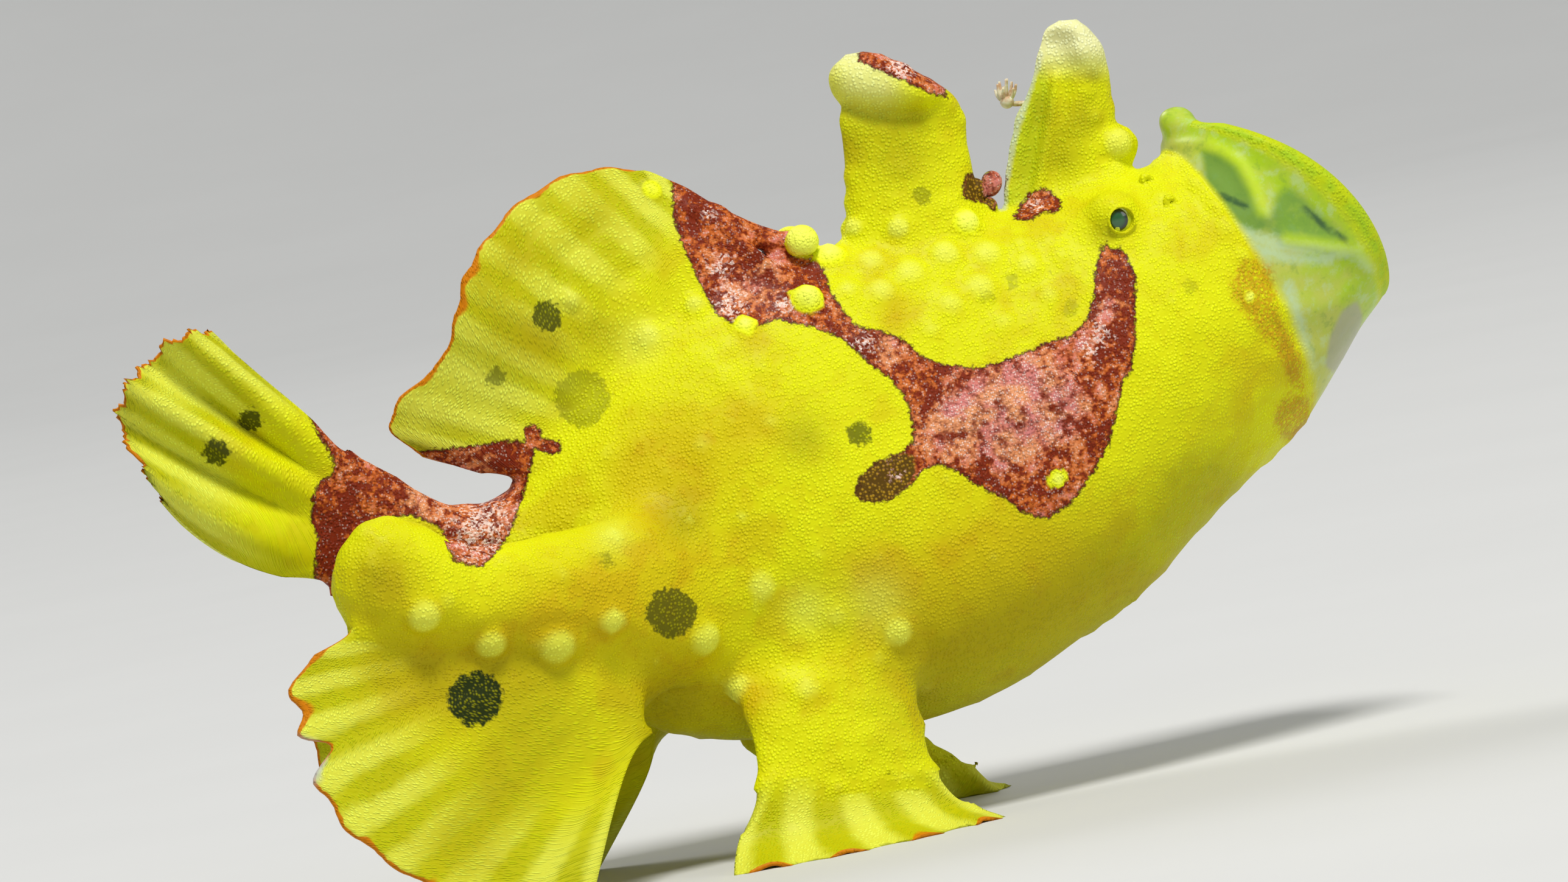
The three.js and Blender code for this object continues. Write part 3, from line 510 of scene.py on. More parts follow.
def hoop(centre, radius, thickness, sides, girth):
    """A ring that lies flat against the flank: a circle swept round a circle, its axis across the
    animal."""
    a = np.arange(sides)[:, None] * 2 * np.pi / sides
    b = np.arange(girth)[None] * 2 * np.pi / girth
    out = radius + thickness * np.cos(b)
    points = np.stack([out * np.cos(a), thickness * np.sin(b) + 0 * a, out * np.sin(a)], -1) + centre
    i, j = np.arange(sides)[:, None] * girth, np.arange(girth)[None]
    after, beside = np.roll(i, -1, 0), (j + 1) % girth
    quads = np.stack([i + j, after + j, after + beside, i + beside], -1).reshape(-1, 4)
    return points.reshape(-1, 3), [quads], notes(sides * girth)


def mirrored(form):
    """The same form on the other side, its faces turned so that they still point out."""
    points, faces, table = form
    return points * [1, -1, 1], [f[:, ::-1] for f in faces], table


def moved(form, x):
    """The same form moved along the animal by x."""
    points, faces, table = form
    return points + [x, 0, 0], faces, table


def as_limb(form, ahead=0.0):
    """The same form, noted as a limb that stands ahead by so many millimetres."""
    points, faces, table = form
    table = table.copy()
    table[:, NOTES.index("limb")] = 1
    table[:, NOTES.index("ahead")] = ahead
    return points, faces, table


def block_below(height, reach=150.0, depth=40.0):
    """A block under a floor at the given height of the turned frame, as corners in the animal's own
    frame."""
    corners = np.array([[x, y, z] for x in (-1, 1) for y in (-1, 1) for z in (0, 1)], float)
    corners = corners * [reach, reach, -depth] + [0, 0, height]
    faces = np.array([[0, 1, 3, 2], [4, 6, 7, 5], [0, 4, 5, 1], [2, 3, 7, 6], [0, 2, 6, 4], [1, 5, 7, 3]])
    return tipped(corners, -NOSE_DOWN), [faces], notes(8)


# Joining forms into one skin

def signed_volume(points, faces):
    """Volume inside the faces, positive where they point out: summed over each face's triangles."""
    total = 0.0
    for f in faces:
        p = points[f]
        for i in range(1, f.shape[1] - 1):
            total += (p[:, 0] * np.cross(p[:, i], p[:, i + 1])).sum() / 6
    return total


def mesh_of(name, points, faces):
    """A Blender mesh from points and arrays of faces, facing out."""
    if signed_volume(points, faces) < 0:
        faces = [f[:, ::-1] for f in faces]
    mesh = bpy.data.meshes.new(name)
    corners = np.concatenate([f.ravel() for f in faces]).astype(np.int32)
    sizes = np.concatenate([np.full(len(f), f.shape[1]) for f in faces]).astype(np.int32)
    mesh.vertices.add(len(points))
    mesh.vertices.foreach_set("co", np.asarray(points, np.float32).ravel())
    mesh.loops.add(len(corners))
    mesh.loops.foreach_set("vertex_index", corners)
    mesh.polygons.add(len(sizes))
    mesh.polygons.foreach_set("loop_start", np.concatenate([[0], np.cumsum(sizes)[:-1]]).astype(np.int32))
    mesh.update(calc_edges=True)
    mesh.validate()
    return mesh


def object_of(name, data):
    """An object in the scene that shows a mesh, a lamp or a camera."""
    thing = bpy.data.objects.new(name, data)
    bpy.context.scene.collection.objects.link(thing)
    return thing


def coordinates(mesh):
    """All points of a mesh as one array."""
    co = np.empty(len(mesh.vertices) * 3, np.float32)
    mesh.vertices.foreach_get("co", co)
    return co.reshape(-1, 3).astype(float)


def joined(mesh, operands):
    """The mesh joined with, or cut by, each form in turn; operands are (form, "UNION" or "DIFFERENCE")."""
    base = object_of("join_base", mesh)
    helpers = []
    for form, action in operands:
        helper = object_of("join_part", mesh_of("join_part", form[0], form[1]))
        helpers.append(helper)
        step = base.modifiers.new("join", "BOOLEAN")
        step.operation = action
        step.solver = "MANIFOLD"
        step.object = helper
    shown = base.evaluated_get(bpy.context.evaluated_depsgraph_get())
    result = bpy.data.meshes.new_from_object(shown)
    for helper in helpers + [base]:
        data = helper.data
        bpy.data.objects.remove(helper)
        bpy.data.meshes.remove(data)
    return result


def keys(points, shift):
    """One whole number for each point's cell in a grid of a thousandth of a millimetre, the grid shifted
    by a part of a cell."""
    half_span, span = 200000, 400009
    cell = np.floor(points * 1000 + shift).astype(np.int64) + half_span
    return (cell[:, 0] * span + cell[:, 1]) * span + cell[:, 2]


def carried(points, known, table):
    """Notes of the known points, found again among the joined ones by place. Points that the joining made
    are told as new."""
    found = np.full(len(points), -1)
    shifts = [[x, y, z] for x in (0, 0.5) for y in (0, 0.5) for z in (0, 0.5)]
    for shift in shifts:
        old, new = keys(known, np.array(shift)), keys(points, np.array(shift))
        order = np.argsort(old)
        place = np.clip(np.searchsorted(old[order], new), 0, len(old) - 1)
        hit = (old[order][place] == new) & (found < 0)
        found[hit] = order[place][hit]
    return np.where(found[:, None] >= 0, table[found], 0), found < 0


def filled(table, fresh, ends):
    """The same notes, with those of the new points spread to them from their neighbours."""
    for _ in range(6):
        table[fresh] = neighbour_mean(table, ends, len(table))[fresh]
    return table


def edges_of(mesh):
    """The two ends of every edge."""
    ends = np.empty(len(mesh.edges) * 2, np.int32)
    mesh.edges.foreach_get("vertices", ends)
    return ends.reshape(-1, 2)


def neighbour_mean(values, ends, count):
    """For each point, the mean of the values at the points it shares an edge with."""
    a, b = ends[:, 0], ends[:, 1]
    number = np.bincount(a, minlength=count) + np.bincount(b, minlength=count)
    total = lambda column: np.bincount(a, column[b], count) + np.bincount(b, column[a], count)
    return np.stack([total(column) for column in values.T], -1) / np.maximum(number, 1)[:, None]


def distance_along(points, ends, start, steps):
    """Distance over the edges from the start points, grown one edge at a time."""
    far = np.where(start, 0.0, 1e3)
    length = np.linalg.norm(points[ends[:, 0]] - points[ends[:, 1]], axis=1)
    for _ in range(steps):
        reach = far.copy()
        np.minimum.at(reach, ends[:, 0], far[ends[:, 1]] + length)
        np.minimum.at(reach, ends[:, 1], far[ends[:, 0]] + length)
        far = reach
    return far


def softened(points, ends, weight, rounds):
    """Points drawn to the mean of their neighbours, as strongly as their weight says."""
    for _ in range(rounds):
        points = points + (neighbour_mean(points, ends, len(points)) - points) * (0.5 * weight)[:, None]
    return points


def join_and_blend(mesh, table, forms, radius, rounds):
    """Forms joined to the skin, and the crease where each meets it smoothed into a fillet about radius
    millimetres wide."""
    known = np.vstack([coordinates(mesh)] + [f[0].astype(np.float32).astype(float) for f in forms])
    whole = np.vstack([table] + [f[2] for f in forms])
    result = joined(mesh, [(f, "UNION") for f in forms])
    points = coordinates(result)
    ends = edges_of(result)
    table, fresh = carried(points, known, whole)
    table = filled(table, fresh, ends)
    far = distance_along(points, ends, fresh, 14)
    points = softened(points, ends, np.clip(1.15 - far / radius, 0, 1), rounds)
    result.vertices.foreach_set("co", points.astype(np.float32).ravel())
    result.update()
    return result, table


def normals_of(mesh):
    """Outward normals of all points."""
    n = np.empty(len(mesh.vertices) * 3, np.float32)
    mesh.vertex_normals.foreach_get("vector", n)
    return n.reshape(-1, 3).astype(float)


# The middle of the right eye.
EYE = skin_point(31.4, 32.4, -1) + [0, 1.4, 0]
# How far the turned animal moves, so that its right eye lies where the frame's right eye is.
eye_low, eye_high = (np.array(corner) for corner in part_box("eye_right"))
lift = (eye_low + eye_high) / 2 / MM - tipped(EYE, NOSE_DOWN)

# The middle of each eye and its direction out of the head.
SOCKETS = [(EYE * [1, -side, 1], np.array([0, side, 0])) for side in (-1, 1)]
MOUND = 0.4  # how much larger than the eyeball the mound round it is
SOCKET_GAP = 0.1  # how much larger than the eyeball its socket is
LID_HEIGHT = 2.88  # how far out of the eye's middle the rim of the lids lies
OPENING_HEIGHT = 3.05  # how far out the ball lies that cuts the opening of the lids
OPENING = 1.24  # that ball's radius

# Relief and markings, placed as pixels of the photograph. Each is laid onto the right side as it is
# seen, and in mirror on the left.

# Warts: x, y, radius in pixels, height in millimetres, and how yellow the top stays in a red patch.
WARTS = [
    (1315, 391, 27, 1.5, 1), (1362, 417, 28, 1.3, 1), (1334, 493, 27, 2.0, 1),
    (1228, 528, 17, 0.8, 1), (1094, 322, 27, 0.9, 1), (1062, 545, 25, 0.7, 0),
    (1143, 494, 20, 0.6, 0), (945, 488, 18, 0.7, 0), (714, 1011, 30, 1.0, 0),
    (816, 1056, 29, 1.0, 0), (925, 1062, 35, 1.1, 0), (1007, 1016, 25, 0.8, 0),
    (1012, 873, 22, 0.5, 0), (1165, 1052, 31, 1.0, 0), (1259, 965, 28, 0.7, 0),
    (1218, 848, 16, 0.4, 0), (1134, 853, 16, 0.4, 0), (1208, 1134, 30, 1.0, 0),
    (1468, 1042, 28, 0.8, 0), (1392, 889, 20, 0.5, 0), (1592, 362, 24, 1.1, 1),
    (1470, 370, 20, 0.8, 0), (1400, 370, 18, 0.7, 0), (1846, 225, 27, 1.2, 0),
    (1755, 629, 21, 0.9, 0), (1675, 690, 25, 1.0, 0), (1740, 792, 15, 0.8, 1),
    (1791, 705, 18, 0.5, 0), (1808, 546, 20, 0.5, 0), (1424, 568, 22, 0.6, 0),
    (2060, 487, 12, 0.5, 1), (767, 888, 18, 0.7, 0), (1434, 424, 26, 0.6, 0),
    (1500, 446, 28, 0.6, 0), (1447, 482, 26, 0.6, 0), (1550, 415, 26, 0.7, 0),
    (1630, 415, 28, 0.6, 0), (1608, 468, 28, 0.6, 0), (1692, 428, 24, 0.5, 0),
    (1724, 486, 22, 0.4, 0), (1568, 500, 26, 0.5, 0), (1530, 545, 22, 0.4, 0),
    (1645, 520, 22, 0.4, 0), (1400, 470, 20, 0.5, 0), (1215, 640, 20, 0.35, 0),
    (1275, 690, 22, 0.35, 0), (1160, 735, 24, 0.35, 0), (1330, 1120, 26, 0.5, 0),
    (1375, 1010, 24, 0.4, 0),
]
# Outlines of the patches, corner by corner.
SADDLE = [
    (1118, 270), (1200, 300), (1290, 360), (1322, 396), (1352, 440), (1364, 480), (1392, 520),
    (1410, 539), (1443, 542), (1489, 562), (1513, 586), (1552, 602), (1605, 605), (1645, 596),
    (1692, 576), (1725, 561), (1761, 552), (1785, 526), (1798, 489), (1801, 446), (1811, 407),
    (1819, 396), (1828, 413), (1839, 403), (1854, 420), (1867, 460), (1864, 513), (1866, 552),
    (1857, 612), (1844, 625), (1834, 678), (1818, 735), (1791, 781), (1761, 824), (1718, 851),
    (1678, 841), (1652, 818), (1612, 801), (1579, 778), (1552, 765), (1529, 763), (1513, 775),
    (1489, 801), (1456, 823), (1433, 826), (1403, 814), (1410, 785), (1440, 758), (1479, 745),
    (1503, 725), (1496, 688), (1493, 665), (1466, 625), (1430, 599), (1386, 557), (1332, 536),
    (1274, 524), (1228, 545), (1207, 536), (1178, 515), (1158, 482), (1124, 408), (1106, 352),
]
TAIL_BAND = [
    (508, 672), (600, 740), (640, 770), (704, 790), (734, 800), (790, 800), (838, 792), (776, 784),
    (700, 766), (688, 744), (780, 733), (830, 724), (862, 726), (866, 699), (885, 699), (893, 722),
    (918, 724), (925, 741), (906, 745), (880, 737), (868, 787), (856, 829), (843, 871), (826, 900),
    (800, 928), (758, 918), (746, 897), (725, 863), (683, 844), (641, 851), (599, 882), (574, 921),
    (567, 974), (590, 1040), (536, 1010), (500, 980), (524, 963), (525, 921), (529, 879),
    (518, 851), (522, 812), (532, 791), (550, 781), (557, 760), (536, 724),
]
CREST = [
    (1408, 78), (1432, 74), (1475, 85), (1515, 100), (1552, 132), (1556, 158), (1520, 147),
    (1490, 132), (1455, 118), (1430, 106), (1413, 98),
]
SMUDGE = [
    (1666, 357), (1680, 335), (1698, 312), (1722, 306), (1748, 330), (1738, 346), (1715, 345),
    (1696, 360),
]
NOTCH = [
    (1582, 322), (1588, 288), (1602, 280), (1618, 284), (1640, 268), (1656, 290), (1646, 320),
    (1634, 344), (1618, 330),
]
NOTCH_DARK = [
    (1582, 322), (1588, 288), (1602, 280), (1617, 288), (1620, 318), (1640, 322), (1634, 344),
    (1618, 330),
]
RED = [SADDLE, CREST, SMUDGE, NOTCH]
CHEEK_STRIPE = [
    (2026, 458), (2045, 428), (2088, 430), (2098, 470), (2104, 520), (2125, 548), (2146, 590),
    (2150, 640), (2126, 636), (2112, 596), (2085, 560), (2062, 532), (2042, 508), (2024, 482),
]
CHEEK_BLOB = [(2104, 665), (2122, 648), (2160, 650), (2165, 690), (2148, 722), (2118, 722), (2100, 694)]
SPINE_SKIN = [(1712, 104), (1736, 140), (1722, 230), (1702, 332), (1652, 336), (1666, 230), (1688, 150)]
SPINE_EDGE = [(1712, 84), (1690, 150), (1668, 220), (1652, 300), (1650, 336)]
OLIVE = [
    (1400, 818), (1406, 785), (1440, 757), (1479, 744), (1500, 745), (1505, 770), (1489, 803),
    (1456, 826), (1430, 830),
]
# Soft patches of a colour, some of them painted light and painted shade: x, y and radius in pixels.
WHITISH = [
    (1704, 332, 16), (800, 868, 62), (1200, 500, 34), (1186, 438, 24), (1290, 500, 22),
    (1162, 352, 14), (1808, 546, 22), (1788, 577, 18), (1416, 566, 26), (1470, 775, 17),
    (1480, 108, 30),
]
ROSY = [
    (1633, 304, 30), (1448, 566, 34), (1620, 660, 60), (1700, 640, 60), (1560, 700, 50),
    (1740, 690, 50), (1650, 745, 40), (1250, 450, 40), (1820, 500, 30), (690, 815, 40),
    (800, 760, 40),
]
DEEPER = [
    (1230, 420, 30), (1100, 380, 30), (1680, 345, 12), (1735, 330, 14), (1500, 640, 30),
    (560, 960, 50), (545, 880, 40), (640, 800, 30), (830, 750, 40), (1838, 455, 44),
    (1852, 560, 40), (1150, 340, 44), (1330, 450, 40), (1410, 545, 30), (560, 850, 50),
    (1650, 820, 60), (1800, 720, 40),
]
# Painted shade in olive: in the folds of the back fin, on the hand under the arm, under the roll of the
# third spine, on the spines and along the belly; in part the fins' own olive tone.
SHADED = [
    (977, 350, 60), (869, 410, 56), (800, 470, 46), (836, 540, 46), (900, 565, 46), (985, 545, 40),
    (740, 1120, 70), (850, 1110, 60), (640, 1090, 50), (1480, 250, 60), (1400, 178, 18),
    (1432, 186, 20), (1466, 190, 22), (1502, 188, 20), (1394, 236, 32), (1740, 250, 40),
    (1780, 190, 34), (1716, 180, 24), (1800, 120, 14), (1560, 1120, 120), (1700, 1060, 120),
    (1850, 950, 110), (1980, 830, 90), (1815, 385, 22), (1090, 1150, 70), (640, 950, 50),
    (1120, 850, 40), (1320, 720, 40), (900, 1200, 90), (820, 1300, 70), (760, 1380, 60),
    (1980, 830, 60),
]
# Golden patches, partly painted shade under the arm, along the belly and in the fold of the back fin,
# partly the skin's own deeper gold round the arm's root and below the back fin.
GOLDEN_AND_SHADE = [
    (1080, 965, 120), (930, 1010, 80), (690, 1100, 90), (830, 1090, 90), (880, 560, 50),
    (1130, 745, 90), (1060, 780, 60), (1240, 690, 50), (1110, 1140, 80), (1230, 1140, 50),
    (1520, 1040, 90), (1430, 940, 50), (1600, 960, 120), (1720, 940, 120), (640, 950, 60),
    (1240, 560, 30), (1470, 520, 30),
]
# Painted light: pale lemon patches where the lower back fin, the tail and the flank face the light; those
# at the tips of the spines are the skin's own paler colour.
PALE_AND_LIT = [
    (740, 610, 60), (690, 680, 44), (800, 660, 50), (1440, 985, 44), (1325, 1000, 34),
    (300, 640, 44), (1010, 880, 26), (1050, 560, 36), (350, 800, 40), (1420, 130, 34),
    (1760, 60, 30),
]
# Dark spots: x, y and radius in pixels, and how dark they are.
SPOTS = [
    (900, 520, 25, 0.85), (815, 620, 17, 0.6), (958, 655, 47, 0.42), (1412, 712, 21, 0.75),
    (1105, 1003, 42, 0.8), (790, 1140, 44, 1.0), (420, 690, 20, 0.9), (366, 742, 22, 0.9),
    (1517, 320, 16, 0.45), (1000, 918, 13, 0.4), (1725, 443, 6, 0.5), (1662, 462, 14, 0.3),
    (1622, 490, 14, 0.25), (1760, 505, 16, 0.25), (1955, 470, 14, 0.25),
]
# What shows through or along the stretched mouth skin: outlines, then lines. The two windows are painted
# shade, the dark inside of the mouth seen through the skin.
SHADE_THROUGH = [
    (1980, 244), (2013, 249), (2043, 272), (2058, 302), (2071, 336), (2094, 368), (2063, 383),
    (2013, 360), (1988, 327),
]
SHADE_THROUGH_FAR = [
    (2094, 343), (2102, 318), (2119, 302), (2144, 318), (2170, 344), (2234, 398), (2204, 403),
    (2134, 398), (2080, 384),
]
OVAL = [(2240, 490), (2252, 520), (2240, 575), (2205, 612), (2186, 600), (2192, 555), (2212, 510)]
SLITS = [
    [(2146, 338), (2180, 368), (2228, 400)], [(2106, 396), (2150, 403), (2196, 412)],
    [(2010, 318), (2050, 336)],
]
STREAKS = [
    [(2015, 364), (2062, 386), (2124, 404), (2170, 408), (2235, 414), (2262, 436)],
    [(2040, 392), (2110, 420), (2190, 424)], [(2122, 470), (2140, 530), (2160, 600)],
    [(1905, 262), (1950, 300), (1984, 318)],
]
TIP_PATCHES = [(1400, 128, 34), (1450, 138, 34)]
TORN_PATCH = [(512, 1240, 52)]
# Ribs: a line in pixels, then width and height in millimetres. The first three are also brighter.
RIBS = [
    ([(1740, 122), (1730, 190), (1718, 260), (1708, 320)], 0.6, 0.8),
    ([(1996, 232), (2041, 262), (2066, 308), (2078, 345)], 1.1, 0.45),
    ([(2120, 392), (2180, 400), (2238, 406), (2262, 428)], 0.9, 0.4),
    ([(1890, 246), (1940, 232), (2000, 232)], 0.7, 0.3),
    ([(2090, 500), (2130, 510), (2200, 500), (2240, 470)], 1.2, 0.35),
    ([(2100, 590), (2150, 590), (2196, 570)], 1.2, 0.3),
    ([(1382, 128), (1420, 138), (1465, 142), (1505, 150), (1545, 172)], 1.5, 0.35),
]
# Creases: a line in pixels, then width and depth in millimetres.
CREASES = [
    ([(1372, 172), (1410, 184), (1465, 190), (1515, 184), (1540, 172)], 0.8, 0.5),
    ([(1712, 160), (1700, 220), (1690, 290)], 0.6, 0.25),
    ([(1758, 130), (1752, 200), (1740, 270)], 0.6, 0.25),
    ([(900, 352), (860, 400), (845, 470)], 0.9, 0.3),
    ([(985, 372), (930, 420), (905, 500)], 0.9, 0.3),
    ([(1060, 430), (1010, 470), (985, 540)], 0.9, 0.3),
]


def outline_distance(points, outline):
    """Distance in millimetres from points to a closed outline, negative inside it: the nearest of its
    edges, and an even-odd count of the edges crossed on the way out."""
    corners = np.array(outline, float)
    inside = np.zeros(len(points), bool)
    for p, q in zip(corners, np.roll(corners, -1, 0)):
        crosses = (p[1] > points[:, 1]) != (q[1] > points[:, 1])
        height = q[1] - p[1] if q[1] != p[1] else 1e-9
        at = p[0] + (points[:, 1] - p[1]) / height * (q[0] - p[0])
        inside ^= crosses & (points[:, 0] < at)
    near = line_distance(points, [*outline, outline[0]])
    return np.where(inside, -near, near)


def line_distance(points, line):
    """Distance in millimetres from points to an open line."""
    near = np.full(len(points), 1e9)
    for p, q in zip(np.array(line[:-1], float), np.array(line[1:], float)):
        run = q - p
        share = np.clip(((points - p) @ run) / (run @ run), 0, 1)
        near = np.minimum(near, np.linalg.norm(points - p - share[:, None] * run, axis=1))
    return near * PIXEL


def soft_patches(points, rows):
    """The sum of soft round patches, each 1 at its middle and fading as exp(-d²/r²)."""
    return sum(np.exp(-((points[:, 0] - x) ** 2 + (points[:, 1] - y) ** 2) / r**2) for x, y, r in rows)


def as_seen(points, table):
    """Where points lie in the photograph's pixels, with the left side folded onto the right."""
    along = points[:, 0] - note(table, "ahead")
    across = along * math.cos(SIGHT) + np.abs(points[:, 1]) * math.sin(SIGHT)
    return np.stack([ORIGIN_PIXEL[0] + across / PIXEL, ORIGIN_PIXEL[1] - points[:, 2] / PIXEL], -1)


def towards_eye(vectors, side):
    """How far vectors reach towards the camera, or on the left side towards the camera's mirror image."""
    return -vectors[:, 0] * math.sin(SIGHT) + side * vectors[:, 1] * math.cos(SIGHT)


def dome(points, centre, wide, power):
    """A round rise about a centre: (1 - d²/wide²)^power, and 0 outside it."""
    return np.clip(1 - ((points - centre) ** 2).sum(1) / wide**2, 0, None) ** power


def line_rise(seen, line, wide):
    """A soft ridge along a line: exp(-(d/wide)²)."""
    return np.exp(-((line_distance(seen, line) / wide) ** 2))


def raised(points, normals, table):
    """Relief of the skin along its normal: warts, ribs and creases where they are seen, and small
    swellings scattered between them. Returns the moved points, and how much each is wart and how much
    a yellow cap."""
    reach = 9  # pixels round a wart's place in which its centre is looked for
    spread = 1.25  # how much wider a wart rises than its outline in the photograph
    tall = 0.8  # a wart this high, in millimetres, is wholly pale
    tries, apart, off_eye = 2600, 2.3, 5
    seen = as_seen(points, table)
    wart, cap, push, sink = (np.zeros(len(points)) for _ in range(4))
    calm = (note(table, "mouth") > 0.01) | (note(table, "inner") > 0.01) | (note(table, "fin") > 0.3)
    centres = []
    for side in (-1, 1):
        near = towards_eye(points, side)
        facing = (towards_eye(normals, side) > 0) & (points[:, 1] * side > 0)
        for x, y, r, height, top in WARTS:
            close = np.flatnonzero(facing & (np.hypot(seen[:, 0] - x, seen[:, 1] - y) < reach))
            if len(close):
                centres.append(points[close[np.argmax(near[close])]])
                rise = dome(points, centres[-1], spread * r * PIXEL, 1.4)
                push = np.maximum(push, height * rise)
                wart = np.maximum(wart, rise * min(1, height / tall))
                cap = np.maximum(cap, top * rise)
        for line, wide, height in RIBS:
            push = np.maximum(push, line_rise(seen, line, wide) * height * facing)
        for line, wide, depth in CREASES:
            sink = sink + line_rise(seen, line, wide) * depth * facing
    draw = np.random.default_rng(11)
    for index in draw.permutation(np.flatnonzero(~calm))[:tries]:
        centre = points[index]
        clear = np.min(((np.array(centres) - centre) ** 2).sum(1)) > apart**2
        if clear and np.linalg.norm(np.abs(centre) - np.abs(EYE)) > off_eye:
            centres.append(centre)
            wide = draw.uniform(1.1, 2.2)
            height = draw.uniform(0.08, 0.34)
            rise = dome(points, centre, wide, 2)
            push = np.maximum(push, height * rise * ~calm)
            wart = np.maximum(wart, 1.6 * (height - 0.1) * rise * ~calm)
    return points + normals * (push - sink)[:, None], wart, cap


def markings(points, table):
    """Attributes of the skin that the material reads: distances in millimetres to the outlines, lines
    and spots, and the sums of the soft patches. No red comes on the limbs, but for the end of the tail
    band, which may reach one ahead of the elbow."""
    seen = as_seen(points, table)
    reach = lambda outlines: np.min([outline_distance(seen, o) for o in outlines], axis=0)
    along = lambda lines: np.min([line_distance(seen, line) for line in lines], axis=0)
    spots = np.array([(np.hypot(seen[:, 0] - x, seen[:, 1] - y) - r) * PIXEL for x, y, r, _ in SPOTS])
    nearest = spots.argmin(0)
    limb = note(table, "limb") > 0.5
    far, elbow = 30, 738
    off_elbow = far * (limb & (seen[:, 0] < elbow))
    return {
        "red": np.minimum(reach(RED) + far * limb, reach([TAIL_BAND]) + off_elbow),
        "white": soft_patches(seen, WHITISH),
        "rosy": soft_patches(seen, ROSY),
        "golden_and_shade": soft_patches(seen, GOLDEN_AND_SHADE),
        "deeper": soft_patches(seen, DEEPER),
        "shaded": soft_patches(seen, SHADED),
        "pale_and_lit": soft_patches(seen, PALE_AND_LIT),
        "spine_skin": reach([SPINE_SKIN]),
        "spine_edge": along([SPINE_EDGE]),
        "olive": reach([OLIVE, NOTCH_DARK]),
        "stripe": reach([CHEEK_STRIPE, CHEEK_BLOB]),
        "spot": spots.min(0),
        "dark": np.array([row[3] for row in SPOTS])[nearest],
        "shade_through": reach([SHADE_THROUGH]),
        "shade_through_far": reach([SHADE_THROUGH_FAR]),
        "oval": reach([OVAL]),
        "slit": along(SLITS),
        "streak": along(STREAKS),
        "bright": along([line for line, _, _ in RIBS[:3]]),
        "tip": ease(46, 50.5, points[:, 2]) + 0.45 * soft_patches(seen, TIP_PATCHES),
        "torn": np.where(points[:, 1] < 0, soft_patches(seen, TORN_PATCH), 0),
    }


def flesh_forms():
    """Arms, legs, spines, the knob of the upper lip, a web between each hand and the belly, the ridge
    before the back fin with its two round warts, the wart before the second spine, and the tongue."""
    knob = ball([UPPER_LIP[0] + 0.4, 0, UPPER_LIP[1] - 0.3], (2.4, 2.6, 1.9))
    knob[2][:, NOTES.index("mouth")] = 0.6
    web = (5.4, 3.4, 5.2)
    return [
        as_limb(arm()),
        as_limb(moved(mirrored(arm()), LEFT_HAND_AHEAD), LEFT_HAND_AHEAD),
        as_limb(leg(0)),
        as_limb(mirrored(leg(LEFT_STEP)), LEFT_STEP),
        third_spine(),
        second_spine(),
        knob,
        ball([-19.5, -8.6, -11.4], web),
        ball([-19.5 + LEFT_HAND_AHEAD, 9.4, -11.4], web),
        rod([[-11, 0, 34.2], [-5, 0, 31.5], [1, 0, 28.8]], 1.2, 1.7, 20, 24),
        ball([0.5, -1.6, 30.0], (1.75, 1.75, 1.75)),
        ball([1.0, 1.8, 29.6], (1.6, 1.6, 1.6)),
        ball([34.3, 0, 40.0], (1.9, 2.0, 1.9)),
        ball([38.5, 0, 11.2], (7.5, 5.2, 2.6), 24, 40, math.radians(-38)),
    ]


def fin_forms():
    """All fins. The right hand's margin is torn."""
    return [
        dorsal_fin(),
        tail_fin(),
        anal_fin(),
        as_limb(hand(2.6)),
        as_limb(toes(0)),
        as_limb(moved(mirrored(hand(0)), LEFT_HAND_AHEAD), LEFT_HAND_AHEAD),
        as_limb(mirrored(toes(LEFT_STEP)), LEFT_STEP),
    ]


def small_forms():
    """The rims of the lids, the nostrils, and the small balls in the notch between the spines."""
    forms = [hoop(socket + out * LID_HEIGHT, 1.3, 0.2, 40, 12) for socket, out in SOCKETS]
    for x, z in ((35.4, 36.4), (37.0, 34.2)):
        forms += [hoop(skin_point(x, z, side), 0.45, 0.26, 24, 10) for side in (-1, 1)]
    forms.append(ball([20.6, 0, 36.1], (1.0, 1.2, 1.1)))
    forms.append(ball([18.8, 0, 35.5], (1.1, 1.6, 1.2)))
    forms.append(ball([20.2, 0, 33.6], (1.0, 1.8, 1.0)))
    return forms


def hollows():
    """What is cut out: the sockets, the openings of the lids, and all below the floor."""
    forms = [ball(socket, (EYE_RADIUS + SOCKET_GAP,) * 3, 30, 48) for socket, _ in SOCKETS]
    forms += [ball(socket + out * OPENING_HEIGHT, (OPENING,) * 3, 16, 32) for socket, out in SOCKETS]
    return forms + [block_below(FLOOR)]


def onto_floor(points):
    """Points lifted to the floor where they lie below it."""
    under = np.clip(FLOOR - tipped(points, NOSE_DOWN)[:, 2], 0, None)
    return points + tipped(under[:, None] * [0, 0, 1], -NOSE_DOWN)


def averaged(values, ends, rounds):
    """Values averaged with their neighbours again and again, which spreads them over the skin."""
    for _ in range(rounds):
        values = neighbour_mean(values, ends, len(values))
    return values


def keep_attributes(mesh, attributes):
    """Writes numbers for every point into the mesh."""
    for name, value in attributes.items():
        layer = mesh.attributes.new(name, "FLOAT", "POINT")
        layer.data.foreach_set("value", np.asarray(value, np.float32))


